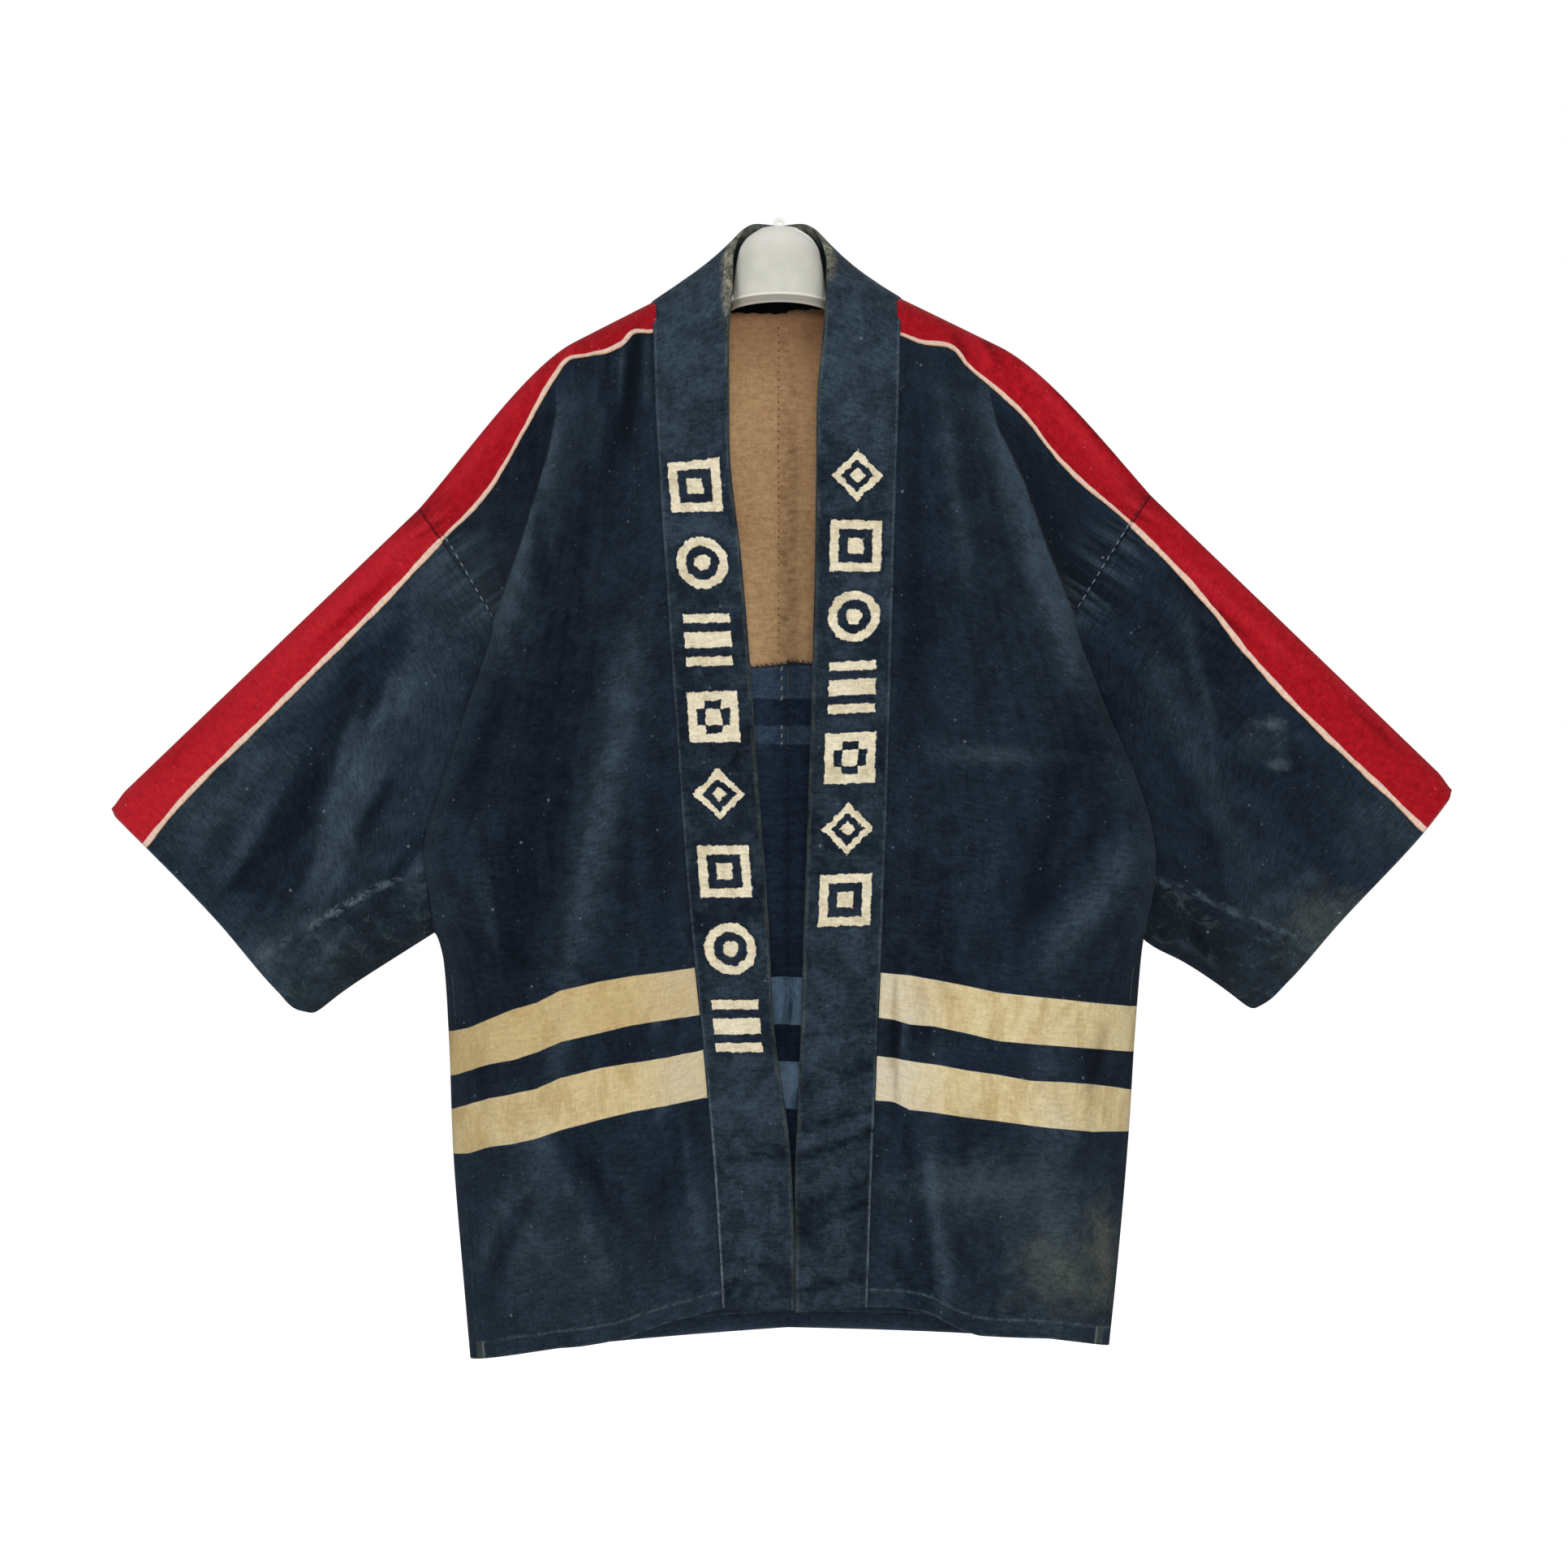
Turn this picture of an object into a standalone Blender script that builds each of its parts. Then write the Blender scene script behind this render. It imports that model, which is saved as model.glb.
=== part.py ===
"""Happi coat of indigo cotton, hung open on a plain moulded hanger with a neck dome.

Metres, +Z up, the coat's front towards -Y. "left" is the -X side and "right" the +X side of the
coat as it is seen from the front. The origin is the hanging eye on top of the hanger.
The tables are in millimetres: out is the distance from the centre line, drop the distance below
the hanging eye, front the distance ahead of the hanger's middle plane.
"""
import math
from collections import namedtuple

import bmesh
import bpy
import numpy as np

MM = 0.001

# Walls and gaps
CLOTH = 1.8            # body and sleeves, one layer of sashiko cotton
BAND_THICK = 3.2       # collar band, folded double
LINING_THICK = 1.2
SEAM_GAP = 0.5
RIDGE_GAP = 0.7        # front and back panel to the middle plane, along the shoulder fold
LAYER_GAP = 0.4        # lining to back panel
NECK_GAP = 2.6         # further gap where the band stands up off the neck seam

# Depth of the hanging coat, front to back
SHOULDER_DEPTH = 24    # front panel ahead of the middle plane, just under the shoulder fold
HEM_DEPTH = 52
FOLD_DEPTH = 20        # where the front panel turns at the fold over the sleeve
SHOULDER_ROLL = 24     # length of cloth that rolls over the hanger's arm
NECK_DEPTH = 40        # back neck seam behind the middle plane
NECK_DIP = 10          # back neck seam below the shoulder point
BACK_HEM_DROP = 895    # at the centre-back seam
CENTRE_SHIFT = 7       # the centre-back seam hangs this far to the right of the hanger's middle
BACK_FOLD_SHARE = 0.6  # the back panel's lap over the sleeve, as a share of the front panel's
SLEEVE_LAP_GAP = 4.2   # sleeve to the turned-back edge of the panel that laps it

SIDES = {"left": -1, "right": 1}
FRONT, BACK = -1, 1

# v runs down the cloth from the shoulder fold, 0, to the hem, 1
Line = namedtuple("Line", "v out drop")
COLLAR_SEAM = {
    "left": [Line(0.0, 101, 64), Line(0.107, 98, 150), Line(0.252, 91, 266), Line(0.437, 81, 414),
             Line(0.622, 70, 561), Line(0.740, 60, 655), Line(0.892, 50, 777), Line(1.0, 45, 863)],
    "right": [Line(0.0, 97, 61), Line(0.111, 95, 150), Line(0.255, 91, 266), Line(0.400, 88, 380),
              Line(0.520, 85, 478), Line(0.642, 81, 577), Line(0.785, 76, 691), Line(1.0, 70, 865)],
}
FOLD_EDGE = {
    "left": [Line(0.0, 178, 103), Line(0.025, 178, 123), Line(0.057, 178, 149), Line(0.140, 195, 216),
             Line(0.267, 227, 317), Line(0.363, 253, 394), Line(0.464, 279, 475), Line(0.490, 286, 496),
             Line(0.526, 282, 525), Line(0.580, 273, 568), Line(0.622, 269, 602), Line(0.680, 266, 648),
             Line(0.807, 262, 750), Line(0.923, 254, 843), Line(1.0, 249, 905)],
    "right": [Line(0.0, 190, 106), Line(0.025, 167, 128), Line(0.060, 171, 155), Line(0.108, 190, 192),
              Line(0.186, 212, 253), Line(0.262, 235, 313), Line(0.349, 261, 381), Line(0.445, 291, 457),
              Line(0.511, 302, 509), Line(0.546, 300, 536), Line(0.587, 294, 568), Line(0.662, 288, 627),
              Line(0.798, 281, 734), Line(0.938, 271, 844), Line(1.0, 265, 893)],
}
# The armhole seam; s runs down it from the shoulder fold, 0, to the underarm, 1
Seam = namedtuple("Seam", "v s out drop")
ARMHOLE = {
    "left": [Seam(0.0, 0.0, 289, 230), Seam(0.267, 0.29, 228, 317), Seam(0.360, 0.50, 231, 394),
             Seam(0.460, 0.723, 250, 475), Seam(0.526, 0.862, 262, 525), Seam(0.580, 1.0, 275, 568)],
    "right": [Seam(0.0, 0.0, 298, 219), Seam(0.262, 0.295, 236, 313), Seam(0.350, 0.488, 240, 387),
              Seam(0.445, 0.685, 264, 458), Seam(0.511, 0.826, 279, 510), Seam(0.587, 1.0, 292, 570)],
}
SIDE_SEAM_START = 0.612   # v, just under the sleeve
# The sleeve's mouth, from the tip of its top fold to its rounded lower corner
Mouth = namedtuple("Mouth", "s out drop")
CUFF = {
    "left": [Mouth(0.0, 539, 470), Mouth(0.18, 509, 499), Mouth(0.56, 449, 561), Mouth(0.875, 401, 617),
             Mouth(0.955, 388, 630), Mouth(1.0, 378, 633)],
    "right": [Mouth(0.0, 543, 455), Mouth(0.18, 517, 488), Mouth(0.56, 449, 561), Mouth(0.875, 406, 610),
              Mouth(0.955, 392, 624), Mouth(1.0, 382, 630)],
}
# Half the sleeve's depth along it, w from the armhole, 0, to the cuff, 1
Depth = namedtuple("Depth", "w half")
SLEEVE_DEPTH = [Depth(0.0, 8.5), Depth(0.14, 8.8), Depth(0.3, 11.5), Depth(0.55, 14), Depth(0.8, 14),
                Depth(1.0, 12.5)]

# How the panel turns at its outer edge: it leaves the flat of the panel inset before the fold edge
# and heads for its seam, where it arrives outward (0 deg), rearward (90) or inward (180)
Turn = namedtuple("Turn", "v inset lead arrive reach fall")
TURN = [Turn(0.0, 14, 38, 0, 38, 1.14), Turn(0.12, 14, 26, 0, 22, 1.0), Turn(0.20, 14, 21, 20, 10, 0.6),
        Turn(0.265, 14, 19, 90, 5, 0.0), Turn(0.33, 14, 19, 170, 18, 0.0), Turn(0.40, 14, 19, 180, 28, 0.0),
        Turn(0.50, 14, 19, 180, 30, 0.0), Turn(0.56, 16, 19, 150, 14, 0.0), Turn(0.60, 26, 20, 95, 9, 0.0),
        Turn(0.68, 34, 22, 90, 11, 0.0), Turn(1.0, 34, 22, 90, 12, 0.0)]

# Inner, folded edge of the collar band down each front
Edge = namedtuple("Edge", "v out front drop")
BAND_EDGE = {
    "left": [Edge(0.0, 39, 0, 24), Edge(0.03, 40, 17, 50), Edge(0.06, 41, 27, 84), Edge(0.107, 41, 34, 136),
             Edge(0.17, 40, 39, 196), Edge(0.252, 32, 42, 265), Edge(0.355, 25, 45, 347),
             Edge(0.478, 18, 47, 446), Edge(0.593, 11, 49, 538), Edge(0.749, 3, 51, 662),
             Edge(0.815, -5, 52, 716), Edge(0.907, -10, 53, 790), Edge(1.0, -11, 54, 865)],
    "right": [Edge(0.0, 40, 0, 26), Edge(0.03, 39, 17, 50), Edge(0.06, 37, 27, 84), Edge(0.107, 32, 34, 136),
              Edge(0.17, 31, 39, 196), Edge(0.255, 30, 42, 265), Edge(0.355, 28, 45, 347),
              Edge(0.478, 25, 47, 446), Edge(0.62, 21, 49, 561), Edge(0.745, 18, 51, 662),
              Edge(0.876, 14, 53, 765), Edge(1.0, 14, 54, 867)],
}
# The same edge round the back of the neck; turn is the angle from the shoulder, 0, to the
# centre back, 90
NeckEdge = namedtuple("NeckEdge", "turn out back drop")
NECK_EDGE = [NeckEdge(0, 39, 0, 25), NeckEdge(28, 34, 13, 9), NeckEdge(52, 26, 23, 1.5),
             NeckEdge(90, 0, 30, 1)]

# The largest drag folds, as soft ridges (+) and troughs (-) along lines on the cloth
Crease = namedtuple("Crease", "side out drop to_out to_drop width rise")
FRONT_CREASES = [
    Crease("left", 108, 100, 168, 303, 12, -4), Crease("left", 168, 322, 224, 640, 17, -6),
    Crease("left", 112, 320, 165, 600, 13, 5), Crease("left", 218, 370, 252, 470, 11, -4),
    Crease("left", 176, 147, 226, 340, 10, 3), Crease("left", 77, 715, 108, 855, 13, -3.5),
    Crease("left", 190, 700, 205, 850, 16, 3),
    Crease("right", 163, 134, 239, 373, 12, 3.5), Crease("right", 240, 405, 185, 585, 15, -5),
    Crease("right", 284, 500, 205, 600, 13, 4), Crease("right", 106, 160, 108, 420, 9, -2.5),
    Crease("right", 150, 690, 160, 850, 16, -3.5), Crease("right", 210, 650, 225, 860, 16, 3),
]
BACK_CREASES = [
    Crease("left", 95, 120, 190, 420, 18, -5), Crease("left", 150, 250, 215, 620, 18, 5),
    Crease("left", 60, 500, 85, 850, 20, 4), Crease("left", 150, 640, 165, 870, 18, -4),
    Crease("right", 100, 130, 200, 440, 18, -5), Crease("right", 160, 260, 235, 600, 18, 5),
    Crease("right", 75, 450, 70, 850, 20, 4), Crease("right", 170, 620, 180, 860, 18, -4),
]
SLEEVE_CREASES = [
    Crease("left", 284, 330, 360, 510, 13, 3.5), Crease("left", 320, 335, 430, 545, 15, -4),
    Crease("left", 405, 420, 470, 500, 12, 3),
    Crease("right", 290, 330, 380, 540, 15, 3), Crease("right", 330, 330, 450, 530, 16, -3.5),
]
BACK_CREASE_SHARE = 0.7   # the sleeve's back layer repeats its folds more softly

# Lining of the back, visible through the front opening
LINING_COLUMNS = 8     # of the back panel's columns, from the centre-back seam outwards
LINING_TOP = 0.004     # v, just under the neck seam
LINING_BOTTOM = 0.339  # v, 352 mm below the eye at the centre

# Hanger: a dome that fills the neck, and an arched arm on each side
ARM_REACH = 164
Arm = namedtuple("Arm", "out top bottom half")
ARMS = [Arm(0, 38, 58, 19), Arm(38, 53, 64, 16.5), Arm(60, 64, 76, 13.5), Arm(101, 77, 92, 12),
        Arm(135, 92, 105, 9.5), Arm(158, 104, 114, 7.5), Arm(164, 107, 113, 5)]
Dome = namedtuple("Dome", "drop half_width half_depth")
DOME = [Dome(2.5, 4, 3.5), Dome(3.6, 12, 9), Dome(6, 18, 13), Dome(11, 25.5, 17), Dome(18, 31, 19.5),
        Dome(30, 34, 21.5), Dome(45, 35.8, 22.5), Dome(61, 37.5, 23)]
EYE_RADIUS = 4.2
EYE_HOLE = 1.7
EYE_THICK = 3.4

# Mesh density
FRONT_COLUMNS = 11     # from the collar to the start of the turn
NECK_COLUMNS = 6       # from the centre-back seam to the shoulder point
BACK_COLUMNS = 4       # from there to the start of the turn
TURN_COLUMNS = 7
ROWS = [0, 0.004, 0.012, 0.03, 0.06, 0.1, 0.14, 0.19, 0.235, 0.275, 0.305, 0.339, 0.375, 0.41, 0.455, 0.5, 0.53,
        0.555, 0.575, 0.59, 0.605, 0.63, 0.68, 0.74, 0.8, 0.86, 0.93, 1.0]
SLEEVE_RING = 30
SLEEVE_STATIONS = [0, 0.08, 0.18, 0.3, 0.42, 0.54, 0.66, 0.78, 0.9, 1.0]
BAND_STATIONS = 66
BAND_COLUMNS = 4

COLOURS = {
    "front": (0.014, 0.027, 0.050), "back": (0.014, 0.027, 0.050), "sleeve": (0.014, 0.027, 0.050),
    "collar": (0.026, 0.042, 0.060), "lining": (0.30, 0.17, 0.085), "hanger": (0.62, 0.62, 0.56),
}
ROUGHNESS = {"hanger": 0.35}


def follow(table, column, at, key="v"):
    """Smooth curve through one column of a table, read at the places `at`."""
    x = np.array([getattr(row, key) for row in table], float)
    y = np.array([getattr(row, column) for row in table], float)
    return curve(x, y, at)


def curve(x, y, at):
    """Smooth curve through the points x, y, read at the places `at`."""
    slope = np.gradient(y, x)
    at = np.clip(np.asarray(at, float), x[0], x[-1])
    i = np.clip(np.searchsorted(x, at, side="right") - 1, 0, len(x) - 2)
    span = x[i + 1] - x[i]
    t = (at - x[i]) / span
    return ((1 + 2 * t) * (1 - t) ** 2 * y[i] + t * (1 - t) ** 2 * span * slope[i]
            + t * t * (3 - 2 * t) * y[i + 1] + t * t * (t - 1) * span * slope[i + 1])


def ease(low, high, at):
    """0 below low, 1 above high, smooth between."""
    t = np.clip((np.asarray(at, float) - low) / (high - low), 0, 1)
    return t * t * (3 - 2 * t)


def crease_rise(creases, side, out, drop):
    """Height of the side's creases at points on the cloth."""
    total = np.zeros(np.broadcast(out, drop).shape)
    for fold in (c for c in creases if c.side == side):
        along_out = fold.to_out - fold.out
        along_drop = fold.to_drop - fold.drop
        length = math.hypot(along_out, along_drop)
        t = ((out - fold.out) * along_out + (drop - fold.drop) * along_drop) / length ** 2
        away = ((out - fold.out) * along_drop - (drop - fold.drop) * along_out) / length
        ends = ease(-0.15, 0.25, t) * (1 - ease(0.7, 1.15, t))
        total = total + fold.rise * ends * np.exp(-(away / fold.width) ** 2)
    return total


def sleeve_half_depth(w, s):
    """Half the gap between the sleeve's layers: 0 at its top fold and at its lower seam."""
    return follow(SLEEVE_DEPTH, "half", w, "w") * np.sqrt(1 - np.abs(2 * s - 1) ** 6)


def panel_depth(v):
    """Depth of the panel beside the collar, before it rolls over the shoulder."""
    return SHOULDER_DEPTH + (HEM_DEPTH - SHOULDER_DEPTH) * (1 - (1 - v) ** 2.2)


def shoulder_roll(side, v):
    """0 on the shoulder fold, 1 once the cloth hangs: a quarter of an ellipse over the hanger."""
    fold_drop = FOLD_EDGE[side][-1].drop - FOLD_EDGE[side][0].drop
    t = np.clip(v * fold_drop / SHOULDER_ROLL, 0, 1)
    return np.sqrt(1 - (1 - t) ** 2)


def seam_depth(side, v):
    """Depth of the panel's outer edge: on the sleeve's seam, behind its own lap, then at the side."""
    s = follow(ARMHOLE[side], "s", v)
    on_sleeve = sleeve_half_depth(0.0, s)
    lapped = on_sleeve + SLEEVE_LAP_GAP * ease(0.2, 0.34, v)
    under = ease(ARMHOLE[side][-1].v + 0.004, SIDE_SEAM_START, v)
    return lapped * (1 - under) + SEAM_GAP / 2 * under


def panel_edges(side, face, v):
    """Where the fold edge and the outer seam of a panel lie in row v: out and drop of each."""
    fold_out = follow(FOLD_EDGE[side], "out", v)
    fold_drop = follow(FOLD_EDGE[side], "drop", v)
    s = follow(ARMHOLE[side], "s", v)
    seam_out = follow(ARMHOLE[side], "out", s, "s")
    seam_drop = follow(ARMHOLE[side], "drop", s, "s")
    if face == BACK:
        lap = np.clip(fold_out - seam_out, 0, None) * (v < SIDE_SEAM_START)
        fold_out = fold_out - lap * (1 - BACK_FOLD_SHARE)
    under = ease(ARMHOLE[side][-1].v, SIDE_SEAM_START, v)
    seam_out = seam_out * (1 - under) + (fold_out - 1) * under
    seam_drop = seam_drop * (1 - under) + fold_drop * under
    return fold_out, fold_drop, seam_out, seam_drop


def panel_face(side, face, p, v):
    """Out, drop and depth of the flat of a panel; p runs from its inner edge, 0, to the turn, 1."""
    fold_out, fold_drop = panel_edges(side, face, v)[:2]
    last_out = fold_out - follow(TURN, "inset", v)
    roll = shoulder_roll(side, v)
    neck = COLLAR_SEAM[side][0]
    tip = FOLD_EDGE[side][0]
    if face == FRONT:
        first_out = follow(COLLAR_SEAM[side], "out", v) + SEAM_GAP / 2
        first_drop = follow(COLLAR_SEAM[side], "drop", v)
        bow = p * (1 - v) + (1 - (1 - p) ** 2.2) * v
        out = first_out + (last_out - first_out) * p
        ridge = neck.drop + (tip.drop - neck.drop) * (out - neck.out) / (tip.out - neck.out)
        plain_top = neck.drop + (tip.drop - neck.drop) * p
        drop = first_drop + (fold_drop - first_drop) * bow + (ridge - plain_top) * (1 - ease(0, 0.12, v))
        deep = panel_depth(v)
        depth = roll * (FOLD_DEPTH + (deep - FOLD_DEPTH) * (1 - p ** 3))
        steady = ease(0.0, 0.12, p) * ease(0.01, 0.08, v)
        depth = depth + steady * crease_rise(FRONT_CREASES, side, out, drop)
    else:
        first_out = SEAM_GAP / 2 + SIDES[side] * CENTRE_SHIFT
        out = first_out + (last_out - first_out) * p
        ridge = neck.drop + (tip.drop - neck.drop) * (out - neck.out) / (tip.out - neck.out)
        across = np.clip(np.abs(out) / neck.out, 0, 1)
        arc = np.sqrt(1 - across ** 2)
        top = np.where(out < neck.out, neck.drop + NECK_DIP * (1 - across ** 2), ridge)
        plain_top = neck.drop + NECK_DIP + (tip.drop - neck.drop - NECK_DIP) * p
        plain = (neck.drop + NECK_DIP) * (1 - v) + BACK_HEM_DROP * v
        drop = plain + (fold_drop - plain) * p + (top - plain_top) * (1 - ease(0, 0.35, v))
        deep = NECK_DEPTH + (HEM_DEPTH - NECK_DEPTH) * (1 - (1 - v) ** 2.2)
        depth = FOLD_DEPTH + (deep - FOLD_DEPTH) * (1 - p ** 3)
        depth = depth * np.sqrt(1 - (1 - roll ** 2) * (1 - arc ** 2))
        steady = ease(0.0, 0.1, p) * ease(0.02, 0.1, v)
        depth = depth + steady * crease_rise(BACK_CREASES, side, out, drop)
    return out, drop, depth


def panel(side, face, u, v):
    """Middle of a panel's cloth: u in 0..1 is the flat, 1..2 the turn to the outer seam."""
    p = np.clip(u, 0, 1)
    q = np.clip(u - 1, 0, 1)
    out, drop, depth = panel_face(side, face, p, v)
    step = 0.02
    near_out, near_drop, near_depth = panel_face(side, face, 1 - step, v)
    end_out, end_drop, end_depth = panel_face(side, face, 1.0, v)
    seam_out, seam_drop = panel_edges(side, face, v)[2:]
    seam_out = seam_out - SEAM_GAP * (v < SIDE_SEAM_START)
    run = end_out - near_out
    lead = follow(TURN, "lead", v)
    reach = follow(TURN, "reach", v)
    arrive = np.radians(follow(TURN, "arrive", v))
    fall = follow(TURN, "fall", v)
    knots = [
        (end_out, end_drop, end_depth),
        (end_out + lead, end_drop + lead * (end_drop - near_drop) / run,
         end_depth + lead * (end_depth - near_depth) / run),
        (seam_out - reach * np.cos(arrive), seam_drop - reach * fall,
         seam_depth(side, v) + reach * np.sin(arrive)),
        (seam_out, seam_drop, seam_depth(side, v)),
    ]
    weights = [(1 - q) ** 3, 3 * q * (1 - q) ** 2, 3 * q * q * (1 - q), q ** 3]
    turned = [sum(weight * knot[axis] for weight, knot in zip(weights, knots)) for axis in range(3)]
    out, drop, depth = [np.where(u <= 1, flat, bent) for flat, bent in zip((out, drop, depth), turned)]
    depth = depth + RIDGE_GAP * (1 - shoulder_roll(side, v))
    return place(side, out, face * depth, drop)


def place(side, out, back, drop):
    """World position in metres of a point given out from the centre, back and below the eye."""
    return np.stack(np.broadcast_arrays(SIDES[side] * out * MM, back * MM, -drop * MM), axis=-1)


def sleeve(side, w, turn):
    """Middle of the sleeve's cloth: w along it, turn round it from the top fold, 0, and back, 1."""
    s = 1 - np.abs(1 - 2 * turn)
    s = 0.5 - 0.5 * np.cos(np.pi * s)
    face = np.where(turn <= 0.5, FRONT, BACK)
    start_out = follow(ARMHOLE[side], "out", s, "s")
    start_drop = follow(ARMHOLE[side], "drop", s, "s")
    end_out = follow(CUFF[side], "out", s, "s")
    end_drop = follow(CUFF[side], "drop", s, "s")
    out = start_out + SEAM_GAP + (end_out - start_out) * w
    drop = start_drop + (end_drop - start_drop) * w
    share = np.where(face == FRONT, 1, BACK_CREASE_SHARE)
    steady = ease(0.06, 0.2, s) * (1 - ease(0.85, 0.97, s)) * ease(0.15, 0.35, w)
    rise = share * steady * crease_rise(SLEEVE_CREASES, side, out, drop)
    depth = sleeve_half_depth(w, s) + rise
    return place(side, out, face * depth, drop)


def shoulder_point(side, turn=0):
    """How far across the top of the back panel the neck seam lies, turn degrees round the neck."""
    outs = panel_face(side, BACK, np.array([0.0, 1.0]), np.zeros(2))[0]
    neck_out = COLLAR_SEAM[side][0].out * math.cos(math.radians(turn))
    return float((neck_out - outs[0]) / (outs[1] - outs[0]))


def band_leg(side):
    """Outer seam and inner edge of the band down one front, from the shoulder to the hem."""
    outer, inner = [], []
    for edge in BAND_EDGE[side]:
        out, drop, depth = panel_face(side, FRONT, np.array(0.0), np.array(edge.v))
        lift = NECK_GAP * (1 - ease(0.0, 0.1, edge.v))
        outer.append(place(side, out - SEAM_GAP - lift, -depth, drop - lift))
        inner.append(place(side, edge.out, -edge.front, edge.drop))
    return outer, inner


def band_neck(side):
    """Outer seam and inner edge of the band round one half of the back neck, from the shoulder."""
    outer, inner = [], []
    for row in NECK_EDGE[1:]:
        across = math.cos(math.radians(row.turn))
        out, drop, depth = panel_face(side, BACK, np.array(shoulder_point(side, row.turn)), np.array(0.0))
        lift = NECK_GAP * (0.7 + 0.3 * across)
        outer.append(place(side, out - NECK_GAP * across, depth, drop - SEAM_GAP - lift))
        inner.append(place(side, row.out, row.back, row.drop))
    return outer, inner


def band_stations():
    """Outer seam and inner edge of the collar band, from the left hem round the neck to the right."""
    stations = []
    for k in (0, 1):
        left = band_leg("left")[k][::-1] + band_neck("left")[k]
        right = band_neck("right")[k][-2::-1] + band_leg("right")[k]
        stations.append(np.array(left + right))
    return stations


def band(t, c):
    """Middle of the collar band: t along it, c from its outer seam, 0, to its folded edge, 1."""
    outer, inner = band_stations()
    middle = (outer + inner) / 2
    length = np.concatenate([[0], np.cumsum(np.linalg.norm(np.diff(middle, axis=0), axis=1))])
    length /= length[-1]
    seam = np.stack([curve(length, outer[:, axis], t) for axis in range(3)], axis=-1)
    edge = np.stack([curve(length, inner[:, axis], t) for axis in range(3)], axis=-1)
    return seam + (edge - seam) * c[..., None]


def lining(side, p, v):
    """Middle of the lining: the back panel's points, moved forward clear of the panel's wall."""
    points = panel(side, BACK, p, v)
    forward = normals(points)
    forward = forward * -np.sign(forward[..., 1:2])
    return points + forward * ((CLOTH + LINING_THICK) / 2 + LAYER_GAP) * MM


def normals(points, wrap=False):
    """Unit normals of a grid of points; wrap closes the grid's second direction."""
    down = np.gradient(points, axis=0)
    if wrap:
        across = (np.roll(points, -1, axis=1) - np.roll(points, 1, axis=1)) / 2
    else:
        across = np.gradient(points, axis=1)
    normal = np.cross(across, down)
    return normal / np.maximum(np.linalg.norm(normal, axis=-1, keepdims=True), 1e-9)


def wall(name, kind, points, thick, wrap=False):
    """Closed wall of cloth, half its thickness to each side of a grid of points."""
    normal = normals(points, wrap)
    rows, columns = points.shape[:2]
    skins = [points + normal * thick / 2 * MM, points - normal * thick / 2 * MM]
    mesh = bmesh.new()
    front, rear = [[[mesh.verts.new(skin[i, j]) for j in range(columns)] for i in range(rows)]
                   for skin in skins]
    last = columns if wrap else columns - 1
    for i in range(rows - 1):
        for j in range(last):
            k = (j + 1) % columns
            mesh.faces.new((front[i][j], front[i][k], front[i + 1][k], front[i + 1][j]))
            mesh.faces.new((rear[i][j], rear[i + 1][j], rear[i + 1][k], rear[i][k]))
    for j in range(last):
        k = (j + 1) % columns
        for i in (0, rows - 1):
            mesh.faces.new((front[i][j], rear[i][j], rear[i][k], front[i][k]))
    if not wrap:
        for i in range(rows - 1):
            for j in (0, columns - 1):
                mesh.faces.new((front[i][j], rear[i][j], rear[i + 1][j], front[i + 1][j]))
    bmesh.ops.recalc_face_normals(mesh, faces=mesh.faces)
    return finish(name, kind, mesh)


def finish(name, kind, mesh):
    """Object from a bmesh, with its facing outward, smooth shading and its own material."""
    if mesh.calc_volume(signed=True) < 0:
        bmesh.ops.reverse_faces(mesh, faces=mesh.faces)
    data = bpy.data.meshes.new(name)
    mesh.to_mesh(data)
    mesh.free()
    data.shade_smooth()
    data.set_sharp_from_angle(angle=math.radians(40))
    part = bpy.data.objects.new(name, data)
    bpy.context.scene.collection.objects.link(part)
    part.data.materials.append(material(kind))
    return part


def material(kind):
    """Principled material of one kind of piece, made once."""
    if kind in bpy.data.materials:
        return bpy.data.materials[kind]
    made = bpy.data.materials.new(kind)
    made.use_nodes = True
    shader = made.node_tree.nodes["Principled BSDF"]
    shader.inputs["Base Color"].default_value = (*COLOURS[kind], 1)
    shader.inputs["Roughness"].default_value = ROUGHNESS.get(kind, 0.85)
    shader.inputs["Metallic"].default_value = 0
    return made


def grid(first, second):
    """Two coordinate grids from the values down and across."""
    return np.meshgrid(np.asarray(first, float), np.asarray(second, float), indexing="ij")


def loft(name, kind, rings):
    """Closed solid through rings of points, with a fan at each end."""
    mesh = bmesh.new()
    made = [[mesh.verts.new(point) for point in ring] for ring in rings]
    count = len(made[0])
    for above, below in zip(made, made[1:]):
        for j in range(count):
            k = (j + 1) % count
            mesh.faces.new((above[j], above[k], below[k], below[j]))
    mesh.faces.new(made[0])
    mesh.faces.new(reversed(made[-1]))
    bmesh.ops.recalc_face_normals(mesh, faces=mesh.faces)
    return finish(name, kind, mesh)


def rounded(angle, power):
    """Point on a superellipse of half-size 1."""
    c, s = math.cos(angle), math.sin(angle)
    return math.copysign(abs(c) ** (2 / power), c), math.copysign(abs(s) ** (2 / power), s)


def join(base, other):
    """Union of two solids, as one object."""
    cut = base.modifiers.new("join", "BOOLEAN")
    cut.operation = "UNION"
    cut.solver = "EXACT"
    cut.object = other
    graph = bpy.context.evaluated_depsgraph_get()
    joined = bpy.data.meshes.new_from_object(base.evaluated_get(graph))
    base.modifiers.clear()
    base.data = joined
    bpy.data.objects.remove(other)


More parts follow.
